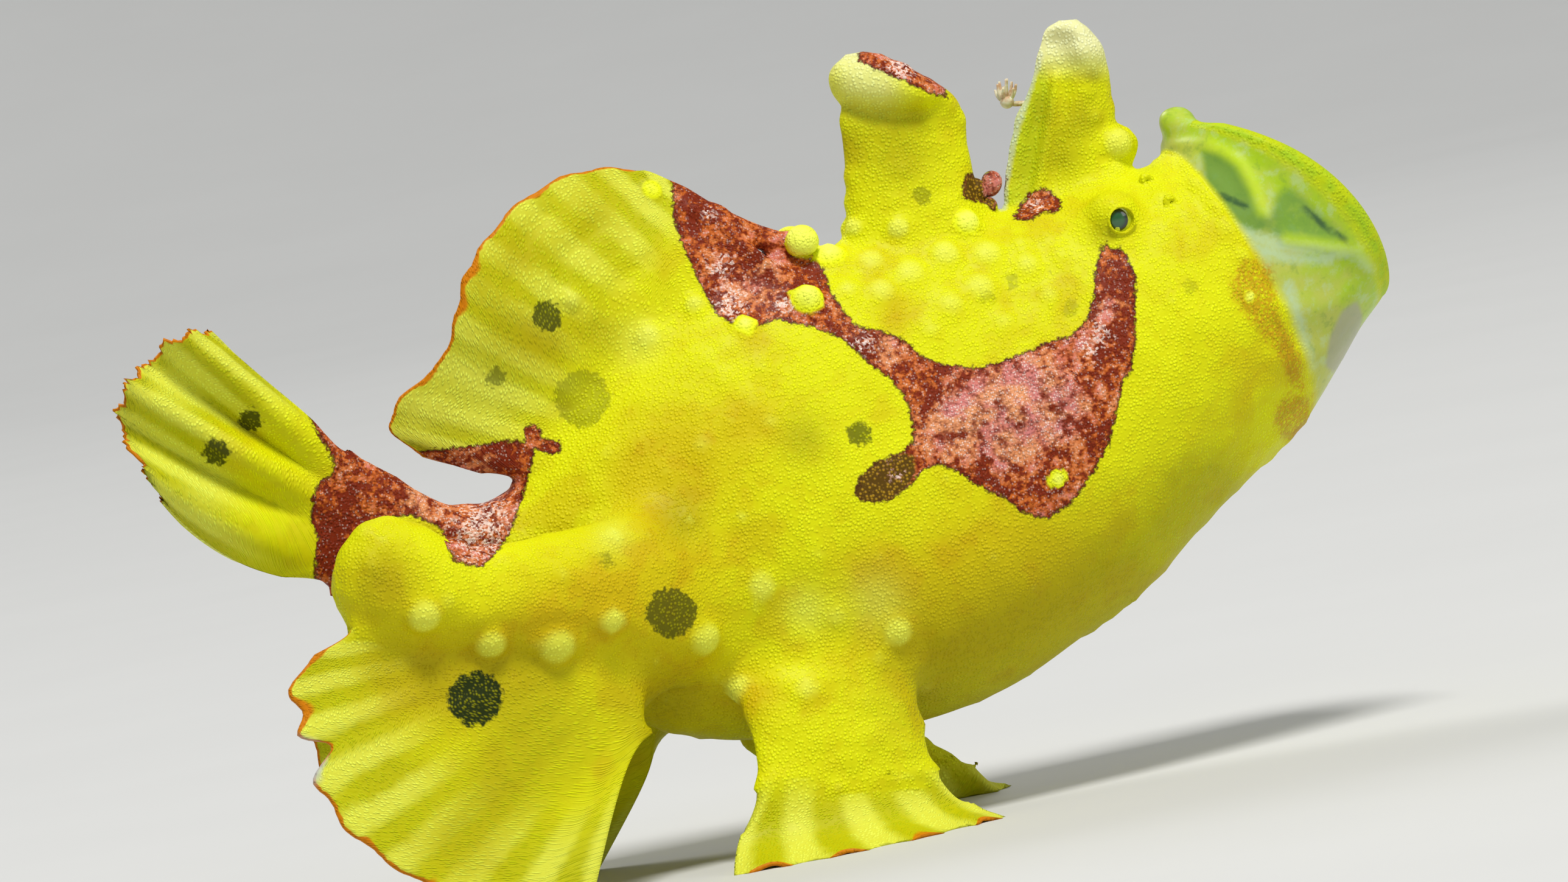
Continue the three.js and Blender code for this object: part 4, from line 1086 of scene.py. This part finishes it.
def build_skin():
    """The whole skin as one mesh: body, flesh, fins, eye mounds and small forms joined in that order,
    then the hollows cut, the relief raised and the markings kept as attributes."""
    points, faces, table = whole_body()
    mesh = mesh_of("skin", points, faces)
    mesh, table = join_and_blend(mesh, table, flesh_forms(), radius=3.6, rounds=60)
    mesh, table = join_and_blend(mesh, table, fin_forms(), radius=4.2, rounds=70)
    mounds = [ball(socket, (EYE_RADIUS + MOUND,) * 3, 30, 48) for socket, _ in SOCKETS]
    mesh, table = join_and_blend(mesh, table, mounds, radius=3.4, rounds=40)
    mesh, table = join_and_blend(mesh, table, small_forms(), radius=0.8, rounds=6)
    known, whole = coordinates(mesh), table
    mesh = joined(mesh, [(form, "DIFFERENCE") for form in hollows()])
    points = coordinates(mesh)
    table, fresh = carried(points, known, whole)
    ends = edges_of(mesh)
    table = filled(table, fresh, ends)
    points, wart, cap = raised(points, normals_of(mesh), table)
    points = onto_floor(points)
    attributes = {name: note(table, name) for name in ("ray", "edge", "across", "mouth", "inner")}
    attributes["leaf"] = averaged(note(table, "fin")[:, None], ends, rounds=36)[:, 0]
    attributes.update(markings(points, table), wart=wart, cap=cap)
    front_of_back_fin = ease(-16, -12, points[:, 0]) * (points[:, 2] > 24)
    attributes["edge"] = attributes["edge"] + 3 * front_of_back_fin  # which has no orange margin
    mesh.vertices.foreach_set("co", in_frame(points).astype(np.float32).ravel())
    mesh.update()
    keep_attributes(mesh, attributes)
    mesh.shade_smooth()
    return mesh


def plain_mesh(name, forms, attributes=None):
    """Several closed forms as one mesh in the row frame, with attributes for every point."""
    start, faces = 0, []
    for points, parts, _ in forms:
        turned = signed_volume(points, parts) < 0
        faces += [(f[:, ::-1] if turned else f) + start for f in parts]
        start += len(points)
    mesh = mesh_of(name, in_frame(np.vstack([f[0] for f in forms])), faces)
    keep_attributes(mesh, attributes or {})
    mesh.shade_smooth()
    return mesh


def rod(points, start, end, steps, sides):
    """A round rod along a smooth line, its radius going from start to end."""
    t = np.linspace(0, 1, steps)
    along = unit(through(points, t + 0.02) - through(points, t - 0.02))
    side = unit(np.cross([0, 1.0, 0], along))
    up = np.cross(along, side)
    angle = np.arange(sides) * 2 * np.pi / sides
    radius = (start + (end - start) * t)[:, None]
    ring = side[:, None] * (radius * np.cos(angle))[..., None]
    ring += up[:, None] * (radius * np.sin(angle))[..., None]
    return tube(through(points, t)[:, None] + ring)


def eye_form(side):
    """The eyeball with a clear bulge over the pupil, its front facing out and a little ahead, and how
    far each of its points lies beside and above the middle of the pupil."""
    polar = np.linspace(0.01, np.pi - 0.01, 64)[:, None]
    angle = np.arange(72) * 2 * np.pi / 72
    radius = EYE_RADIUS * (1 + 0.09 * np.exp(-((polar / 0.5) ** 2)))
    across = radius * np.sin(polar)
    aside, above = across * np.cos(angle), across * np.sin(angle)
    out = -radius * np.cos(polar) + 0 * angle
    look = math.radians(-8)
    c, s = math.cos(look), math.sin(look)
    turned = np.stack([aside * c - out * s, aside * s + out * c, above], -1)
    turned[..., 1] *= -side
    form = tube(turned + EYE * [1, -side, 1])
    poles = [0, 0]
    return form, {"aside": np.append(aside, poles), "above": np.append(above, poles)}


def lure_forms():
    """The fishing rod, laid back along the left of the second spine, and its tuft of soft fingers."""
    base = np.array([23.4, 4.1, 44.2])
    line = [
        [35.6, 2.2, 35.0], [34.9, 3.2, 39.6], [31.8, 4.2, 43.2], [27.6, 4.3, 44.2], [23.6, 4.1, 44.2],
    ]
    forms = [rod(line, 0.5, 0.26, 44, 16), ball(base + [0, 0, 0.2], (0.7, 0.8, 0.7), 14, 20)]
    for i in range(11):
        lean = -1.1 + 2.0 * (i % 6) / 5
        reach = (2.6 - 0.25 * abs((i % 6) - 2.5)) * (1 if i < 6 else 0.7)
        tip = base + [0.9 * lean, 0.9 * math.sin(2.4 * i), reach]
        middle = (base + tip) / 2 + [0.25 * lean, 0, 0]
        forms.append(rod([base, middle, tip], 0.3, 0.12, 12, 10))
    return forms


# Materials

class Field:
    """A number that varies over a surface, made by shader nodes and used in plain arithmetic."""

    def __init__(self, tree, socket):
        self.tree = tree
        self.socket = socket

    def join(self, operation, *others):
        """One step of arithmetic on this number and others."""
        node = self.tree.nodes.new("ShaderNodeMath")
        node.operation = operation
        for place, value in zip(node.inputs, (self, *others)):
            if isinstance(value, Field):
                self.tree.links.new(value.socket, place)
            else:
                place.default_value = value
        return Field(self.tree, node.outputs[0])

    def flipped(self, operation, other):
        """The same with a plain number put before this one."""
        node = self.tree.nodes.new("ShaderNodeMath")
        node.operation = operation
        node.inputs[0].default_value = other
        self.tree.links.new(self.socket, node.inputs[1])
        return Field(self.tree, node.outputs[0])

    def __add__(self, other):
        return self.join("ADD", other)

    __radd__ = __add__

    def __mul__(self, other):
        return self.join("MULTIPLY", other)

    __rmul__ = __mul__

    def __sub__(self, other):
        return self.join("SUBTRACT", other)

    def __rsub__(self, other):
        return self.flipped("SUBTRACT", other)

    def __truediv__(self, other):
        return self.join("DIVIDE", other)

    def __pow__(self, other):
        return self.join("POWER", other)

    def least(self, other):
        return self.join("MINIMUM", other)

    def most(self, other):
        return self.join("MAXIMUM", other)

    def sine(self):
        return self.join("SINE")

    def size(self):
        return self.join("ABSOLUTE")

    def rise(self, low, high):
        """0 below low and 1 above high, smooth between; the two may be given the other way round."""
        node = self.tree.nodes.new("ShaderNodeMapRange")
        node.interpolation_type = "SMOOTHSTEP"
        swapped = low > high
        node.inputs["From Min"].default_value = min(low, high)
        node.inputs["From Max"].default_value = max(low, high)
        node.inputs["To Min"].default_value = 1.0 if swapped else 0.0
        node.inputs["To Max"].default_value = 0.0 if swapped else 1.0
        self.tree.links.new(self.socket, node.inputs["Value"])
        return Field(self.tree, node.outputs["Result"])


class Finish:
    """One material's node tree, with short ways to add what this animal's finishes need."""

    def __init__(self, name):
        self.material = bpy.data.materials.new(name)
        self.material.use_nodes = True
        self.tree = self.material.node_tree
        self.shader = self.tree.nodes["Principled BSDF"]
        self.place = self.node("ShaderNodeTexCoord").outputs["Object"]

    def node(self, kind, settings=None, **values):
        """A new node with its settings, and its inputs fed by name, underscores standing for spaces."""
        made = self.tree.nodes.new(kind)
        for key, value in (settings or {}).items():
            setattr(made, key, value)
        for key, value in values.items():
            self.feed(made.inputs[key.replace("_", " ")], value)
        return made

    def feed(self, place, value):
        """Links a socket to what varies, or sets it to a plain number or colour."""
        if isinstance(value, Field):
            value = value.socket
        if isinstance(value, bpy.types.NodeSocket):
            self.tree.links.new(value, place)
        elif isinstance(value, tuple) and len(value) == 3 and place.type == "RGBA":
            place.default_value = (*value, 1.0)
        else:
            place.default_value = value

    def shade(self, **values):
        """Feeds the shader's own inputs by name, underscores standing for spaces."""
        for key, value in values.items():
            self.feed(self.shader.inputs[key.replace("_", " ")], value)

    def attribute(self, name):
        """A number that the mesh keeps for each of its points."""
        return Field(self.tree, self.node("ShaderNodeAttribute", {"attribute_name": name}).outputs["Fac"])

    def attributes(self, *names):
        return [self.attribute(name) for name in names]

    def noise(self, size, detail=3.0, roughness=0.55):
        """Cloudy noise about 0.5, whose lumps are size millimetres across."""
        lumps = {"Scale": 1 / (size * MM), "Detail": detail, "Roughness": roughness}
        made = self.node("ShaderNodeTexNoise", None, Vector=self.place, **lumps)
        return Field(self.tree, made.outputs[0])

    def grains(self, size, randomness=1.0, place=None):
        """Cells size millimetres across, over the object or over a place given in millimetres: the
        distance from each cell's middle in shares of a cell, and a number for each cell."""
        cells = {"Scale": 1 / (size * MM) if place is None else 1 / size, "Randomness": randomness}
        made = self.node("ShaderNodeTexVoronoi", None, Vector=place or self.place, **cells)
        single = self.node("ShaderNodeSeparateColor", None, Color=made.outputs["Color"])
        return Field(self.tree, made.outputs["Distance"]), Field(self.tree, single.outputs[0])

    def vector(self, x, y, z=0.0):
        """Three numbers as one place."""
        made = self.node("ShaderNodeCombineXYZ")
        for place, value in zip(made.inputs, (x, y, z)):
            self.feed(place, value)
        return made.outputs[0]

    def blend(self, share, first, second):
        """The first colour where share is 0, the second where it is 1."""
        made = self.node("ShaderNodeMix", {"data_type": "RGBA", "clamp_factor": True})
        self.feed(made.inputs[0], share)
        self.feed(made.inputs[6], first)
        self.feed(made.inputs[7], second)
        return made.outputs[2]

    def bump(self, height, strength, distance, under=None):
        """A normal that shows a height of so many millimetres, over another normal if one is given."""
        made = self.node("ShaderNodeBump", None, Height=height, Strength=strength, Distance=distance * MM)
        if under is not None:
            self.tree.links.new(under, made.inputs["Normal"])
        return made.outputs[0]


def srgb(red, green, blue):
    """A colour as seen on screen, 0..255, turned into the linear light that shaders use."""
    shares = (v / 255 for v in (red, green, blue))
    return tuple(((v + 0.055) / 1.055) ** 2.4 if v > 0.04045 else v / 12.92 for v in shares)


YELLOW = srgb(232, 238, 0)
LEMON = srgb(242, 252, 8)
# GOLD is also the colour of painted shade on the flank and belly.
GOLD = srgb(212, 182, 0)
FIN_GREEN = srgb(180, 190, 0)
OLIVE_SHADE = srgb(138, 138, 0)
FIN_PALE = srgb(240, 252, 96)
WART_TOP = srgb(246, 255, 92)
TIP_CREAM = srgb(252, 255, 206)
GRAIN_GAP = srgb(180, 166, 0)
BRICK = srgb(206, 104, 34)
DARK_BRICK = srgb(124, 38, 8)
ROSE = srgb(234, 160, 112)
MAUVE = srgb(216, 132, 132)
WHITE = srgb(250, 228, 218)
RIM_BROWN = srgb(66, 20, 10)
SPOT = srgb(34, 44, 4)
BLOB = srgb(88, 62, 6)
ORANGE = srgb(206, 122, 0)
OLIVE_BROWN = srgb(172, 132, 24)
FILM = srgb(168, 202, 30)
FILM_PALE = srgb(188, 196, 84)
FILM_GREEN = srgb(104, 148, 62)
FILM_DARK = srgb(50, 84, 56)
STREAK_WHITE = srgb(186, 212, 170)
OVAL_GREY = srgb(166, 166, 138)
LIP = srgb(186, 204, 14)
THROAT_PINK = srgb(176, 166, 84)
EDGE_BLUE = srgb(196, 216, 206)
TORN_GREY = srgb(176, 186, 180)
FILM_BRIGHT = srgb(206, 234, 30)
STRIPE_BROWN = srgb(132, 78, 4)
STRIPE_OCHRE = srgb(206, 142, 20)
EYE_YELLOW = srgb(224, 230, 8)
IRIS_GREEN = srgb(150, 160, 30)
IRIS_PALE = srgb(206, 216, 60)
PUPIL_GREEN = srgb(26, 84, 34)
PUPIL_DARK = srgb(3, 10, 4)
PUPIL_GLINT = srgb(232, 240, 200)
LURE_PALE = srgb(232, 226, 196)
LURE_BAND = srgb(196, 160, 120)
FLOOR_DARKER = (0.6, 0.6, 0.59)
FLOOR_LIGHTER = (0.63, 0.63, 0.62)


def skin_finish():
    """Granular yellow skin with brick red patches, dark granular spots, pale warts, rayed fins and a
    thin stretched mouth. In each blend the share says where the second colour lies over the first."""
    m = Finish("frogfish_skin")
    leaf, ray, edge, across, mouth, inner = m.attributes("leaf", "ray", "edge", "across", "mouth", "inner")
    wart, cap, red, white, rosy, golden_and_shade = m.attributes("wart", "cap", "red", "white", "rosy", "golden_and_shade")
    olive, stripe, spot, dark, tip, torn = m.attributes("olive", "stripe", "spot", "dark", "tip", "torn")
    deeper, shaded, pale_and_lit = m.attributes("deeper", "shaded", "pale_and_lit")
    spine_skin, spine_edge = m.attributes("spine_skin", "spine_edge")
    shade_through, shade_through_far, oval = m.attributes("shade_through", "shade_through_far", "oval")
    slit, streak, bright = m.attributes("slit", "streak", "bright")
    grain, grain_id = m.grains(0.36, 0.75)
    leaf_grain, _ = m.grains(0.36, 0.6, m.vector(across, edge))
    grain = grain + (leaf_grain - grain) * leaf.rise(0.85, 0.98)
    leaf = leaf.rise(0.3, 1.0)
    fine, fine_id = m.grains(0.22)
    cloud = m.noise(7.0, 2.0)
    patchy = m.noise(2.4, 3.0)
    small = m.noise(0.9, 2.0)
    ragged = m.noise(0.45, 2.0)
    knob = grain.rise(0.58, 0.14)
    thin = mouth.rise(0.04, 0.2) * mouth.rise(0.98, 0.86)

    # The yellow ground, the fins' blades and the grains over both.
    base = m.blend(cloud.rise(0.46, 0.7) * 0.5, YELLOW, LEMON)
    # A deeper gold: the skin's own tone in clouds, and painted shade in the golden patches.
    warm_and_shade = golden_and_shade.least(1.0) * 0.75 + cloud.rise(0.47, 0.32) * 0.45 + patchy.rise(0.5, 0.36) * 0.2
    base = m.blend(warm_and_shade, base, GOLD)
    # Painted shade in olive, in part the fins' own tone.
    base = m.blend(shaded.least(1.0) * (0.5 + (small - 0.5) * 0.3), base, OLIVE_SHADE)
    base = m.blend(wart.rise(0.15, 0.8) * 0.85, base, WART_TOP)
    blade = m.blend((ray * 0.75 + cloud * 0.7 + (small - 0.5) * 0.3).rise(0.4, 1.0), FIN_GREEN, FIN_PALE)
    unshaded = 1 - golden_and_shade.most(shaded).least(1.0) * 0.75
    base = m.blend(leaf * edge.rise(16, 7) * unshaded * 0.85, base, blade)
    # Painted light in pale lemon, but for the spines' own pale tips.
    base = m.blend(pale_and_lit.least(1.0) * 0.6, base, FIN_PALE)
    base = m.blend((spine_skin + (small - 0.5)).rise(0.5, -0.7) * 0.55, base, FILM)
    base = m.blend((spine_edge + (small - 0.5) * 0.4).rise(0.7, 0.15) * 0.7, base, EDGE_BLUE)
    base = m.blend(tip * 0.9, base, TIP_CREAM)
    # The grains stand out more in the painted shade.
    base = m.blend((1 - knob) * (0.34 + shaded.least(1.0) * 0.2 + leaf * 0.12), base, GRAIN_GAP)
    lines = (across * (2 * math.pi / 0.8) + (small - 0.5) * 3.0).sine() * edge.rise(7, 0.5) * leaf
    base = m.blend(lines * patchy * 0.16, base, GOLD)

    # The red patches: dark and rosy clouds, white specks, olive parts and a brown rim. Capped warts in
    # them stay yellow.
    rag = (ragged - 0.5) * 0.7 + (grain_id - 0.5) * 0.22
    in_red = (red + rag).rise(0.08, -0.08)
    mottle = patchy + (small - 0.5) * 1.1 + (ragged - 0.5) * 0.5 - deeper * 0.2
    deep = m.blend(mottle.rise(0.3, 0.62), DARK_BRICK, BRICK)
    blush = (rosy.least(1.2) * 0.36 - deeper * 0.4 + patchy * 1.4 + (small - 0.5) * 1.6).rise(0.6, 1.3)
    deep = m.blend(blush * 0.85, deep, m.blend(m.noise(3.2).rise(0.44, 0.62), ROSE, MAUVE))
    speck = (fine_id + blush * 0.3).rise(0.66, 0.9) * fine.rise(0.62, 0.3)
    deep = m.blend(speck * (0.26 + blush * 0.34), deep, WHITE)
    pale = (white.least(1.0) + (small - 0.5) * 0.8 + (fine_id - 0.5) * 1.1).rise(0.5, 1.5)
    deep = m.blend(pale * 0.9, deep, WHITE)
    near_rim = (red + rag).rise(-0.9, -0.05)
    pits = fine_id.rise(0.4, 0.22) * fine.rise(0.7, 0.35) * (0.34 + near_rim * 0.6)
    deep = m.blend(pits * 0.8, deep, RIM_BROWN)
    in_olive = (olive + rag).rise(0.15, -0.25)
    deep = m.blend(in_olive * (1 - pale), deep, m.blend(knob, BLOB, OLIVE_BROWN))
    base = m.blend(in_red, base, deep)
    rim = (red + rag).size().rise(0.24, 0.03) * (1 - knob * 0.4)
    base = m.blend(rim * 0.8, base, RIM_BROWN)
    base = m.blend(cap.rise(0.1, 0.3), base, m.blend(cap.rise(0.2, 0.9), YELLOW, WART_TOP))

    # Dark spots. The fainter ones are paler still in the middle.
    dotted = (spot + rag * 0.7 + (small - 0.5) * 1.3).rise(0.14, -0.24) * dark
    ring = 1 - (dark.rise(0.46, 0.36) * spot.rise(-0.6, -2.2)) * 0.5
    base = m.blend(dotted * ring, base, m.blend(knob * 0.8, SPOT, OLIVE_SHADE))

    # The stretched mouth skin, with what shows through it, then the lips and the mouth's inside.
    film = m.blend((patchy * 0.6 + mouth * 0.5).rise(0.4, 0.8), FILM_PALE, FILM)
    veil = m.noise(1.6, 4.0, 0.65)
    film = m.blend(veil.rise(0.5, 0.68) * 0.35, film, STREAK_WHITE)
    film = m.blend(veil.rise(0.46, 0.34) * 0.35, film, FILM_GREEN)
    # Painted shade: the dark inside of the mouth, seen through the skin in two windows.
    film = m.blend(shade_through.rise(0.5, -0.5) * 0.85, film, FILM_GREEN)
    film = m.blend(shade_through_far.rise(0.6, -0.7) * (0.5 + small).least(1.0) * 0.8, film, FILM_GREEN)
    film = m.blend((slit + (ragged - 0.5) * 0.3).rise(0.55, 0.05) * 0.85, film, FILM_DARK)
    film = m.blend(oval.rise(0.3, -0.3) * 0.8, film, OVAL_GREY)
    film = m.blend((streak + (ragged - 0.5) * 0.9).rise(1.1, 0.0) * 0.7, film, STREAK_WHITE)
    film = m.blend(bright.rise(1.2, 0.1) * 0.5, film, FILM_BRIGHT)
    base = m.blend(thin, base, film)
    lip = m.blend(patchy.rise(0.4, 0.62), FILM, LIP)
    base = m.blend(mouth.rise(0.88, 0.98) * inner.rise(0.8, 0.4), base, lip)
    base = m.blend(inner.rise(0.7, 0.98) * (1 - thin), base, THROAT_PINK)

    # The stripe on the cheek, the orange margin of the fins and the torn margin of the right hand.
    striped = (stripe + rag * 1.6).rise(0.5, -0.5) * (fine_id * 0.5 + patchy * 0.8).rise(0.3, 0.75)
    base = m.blend(striped * (1 - cap) * 0.72, base, m.blend(fine_id, STRIPE_BROWN, STRIPE_OCHRE))
    width = 0.32 + m.noise(5.0, 1.0).rise(0.5, 0.75) * 1.3
    margin = ((edge + (small - 0.5) * 0.5) / width).rise(1.0, 0.55) * leaf
    base = m.blend(margin, base, ORANGE)
    worn = torn.rise(0.35, 0.8) * (edge + (small - 0.5) * 1.6).rise(1.4, 0.7) * leaf
    base = m.blend(worn, base, TORN_GREY)

    height = knob * 0.6 + speck * in_red * 0.3
    normal = m.bump(height * (1 - thin), 1.0, 0.12)
    normal = m.bump(lines * patchy, 0.16, 0.12, normal)
    normal = m.bump(patchy * (1 - thin * 0.5), 0.25, 0.5, normal)
    m.shade(Base_Color=base, Normal=normal, Roughness=0.55 - thin * 0.2 - knob * 0.05)
    m.shade(Specular_IOR_Level=0.13, Coat_Weight=0.02 + thin * 0.22, Coat_Roughness=0.25)
    return m.material


def eye_finish():
    """A dark green pupil with a notch below and a painted highlight arcing above, in a pale green ring,
    and skin yellow around it, under a clear wet coat."""
    m = Finish("frogfish_eye")
    aside, above = m.attributes("aside", "above")
    far = ((aside**2) + (above * 0.93) ** 2) ** 0.5
    notch = aside.size().rise(0.34, 0.1) * above.rise(-0.5, -0.8)
    _, speck_id = m.grains(0.2)
    iris = m.blend((m.noise(0.8) + speck_id * 0.3).rise(0.4, 0.9), IRIS_GREEN, IRIS_PALE)
    pupil = m.blend(far.rise(0.5, 0.95), PUPIL_GREEN, PUPIL_DARK)
    base = m.blend(far.rise(1.2, 1.4), iris, EYE_YELLOW)
    base = m.blend((far + notch * 0.5).rise(1.1, 1.02), base, pupil)
    # A painted highlight on the wet eye, in an arc just above the pupil.
    glint = (far - 1.14).size().rise(0.09, 0.02) * above.rise(0.5, 0.9)
    base = m.blend(glint * 0.85, base, PUPIL_GLINT)
    m.shade(Base_Color=base, Roughness=0.3, Coat_Weight=1.0, Coat_Roughness=0.03)
    return m.material


def lure_finish():
    """Pale, slightly banded soft skin."""
    m = Finish("frogfish_lure")
    base = m.blend(m.noise(0.8).rise(0.4, 0.65), LURE_PALE, LURE_BAND)
    normal = m.bump(m.noise(0.3), 0.4, 0.1)
    m.shade(Base_Color=base, Normal=normal, Roughness=0.45)
    m.shade(Subsurface_Weight=0.15, Subsurface_Scale=0.0005)
    return m.material


def floor_finish():
    """Plain pale floor."""
    m = Finish("studio_floor")
    m.shade(Base_Color=m.blend(m.noise(60.0), FLOOR_DARKER, FLOOR_LIGHTER), Roughness=0.9)
    return m.material


# Pieces

SKIN_NODES = [
    "head", "trunk", "tail_stem", "third_spine", "second_spine",
    "arm_right", "arm_left", "leg_right", "leg_left",
    "dorsal_fin", "tail_fin", "anal_fin", "hand_right", "hand_left", "foot_right", "foot_left",
    "upper_jaw", "lower_jaw", "mouth_skin_right", "mouth_skin_left",
]


def piece(name, mesh, material, slot, *nodes):
    """A finished piece: it rides on the root and stands for its nodes."""
    made = object_of(name, mesh)
    made.data.materials.clear()
    made.data.materials.append(material)
    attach(made, "root")
    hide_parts(*nodes)
    return made


piece("frogfish_skin", build_skin(), skin_finish(), "skin", *SKIN_NODES)
eye_material = eye_finish()
for label, side in (("right", -1), ("left", 1)):
    form, marks = eye_form(side)
    piece(f"eyeball_{label}", plain_mesh("eyeball", [form], marks), eye_material, "eye", f"eye_{label}")
piece("fishing_lure", plain_mesh("lure", lure_forms()), lure_finish(), "lure", "lure")


# Studio

def sweep_floor(flat_reach, rim_reach, rim_height):
    """A round floor, level up to flat_reach and rising beyond it as rim_height·share², where share goes
    from 0 there to 1 at the rim."""
    share = np.linspace(0, 1, 24)[:, None]
    angle = np.arange(64) * 2 * np.pi / 64
    radius = flat_reach + (rim_reach - flat_reach) * share
    height = rim_height * share**2 + 0 * angle
    points, faces, _ = tube(np.stack([radius * np.cos(angle), radius * np.sin(angle), height], -1))
    return mesh_of("floor", points, [faces[0], faces[1]])


floor = object_of("studio_floor", sweep_floor(1.6, 3.8, 0.9))
floor.data.shade_smooth()
floor.data.materials.append(floor_finish())


def aim(thing, spot, side, up, back):
    """Puts a camera or lamp at a spot, its own axes along side, up and back. It looks against back."""
    thing.matrix_world = [[*side, 0], [*up, 0], [*back, 0], [*spot, 1]]


def place_camera(distance):
    """The camera looks level across the climbing animal, at what lies in the middle of the photograph,
    so in the row frame it is rolled by the same turn as the animal."""
    middle = in_frame(np.array([-1.82, -4.0, 10.53]))
    photo_width, sensor = 2576, 36
    back = tipped(np.array([-math.sin(SIGHT), -math.cos(SIGHT), 0]), NOSE_DOWN)
    up = tipped(np.array([0, 0, 1]), NOSE_DOWN)
    camera = object_of("camera", bpy.data.cameras.new("camera"))
    camera.data.sensor_width = sensor
    camera.data.lens = sensor * distance / (photo_width * PIXEL * MM)
    camera.data.clip_end = 50
    aim(camera, middle + back * distance, np.cross(up, back), up, back)
    bpy.context.scene.camera = camera


def soft_light(name, spot, size, power, colour):
    """A square soft light that looks at the animal's middle."""
    middle = [0, 0, 0.04]
    light = bpy.data.lights.new(name, "AREA")
    light.size = size
    light.energy = power
    light.color = colour
    away = unit(np.array(spot) - middle)
    side = unit(np.cross([0, 0, 1.0], away))
    aim(object_of(name, light), spot, side, np.cross(away, side), away)


place_camera(1.1)
soft_light("key", (0.1, -1.3, 2.7), 0.8, 80, (1.0, 0.99, 0.96))
soft_light("fill", (1.7, -1.4, 1.1), 1.0, 7, (0.97, 0.98, 1.0))
soft_light("back", (-0.9, 1.9, 2.0), 1.2, 26, (1.0, 1.0, 1.0))
world = bpy.data.worlds.new("studio")
bpy.context.scene.world = world
world.use_nodes = True
world.node_tree.nodes["Background"].inputs["Color"].default_value = (0.9, 0.93, 0.95, 1)
world.node_tree.nodes["Background"].inputs["Strength"].default_value = 0.235
bpy.context.scene.view_settings.view_transform = "Standard"
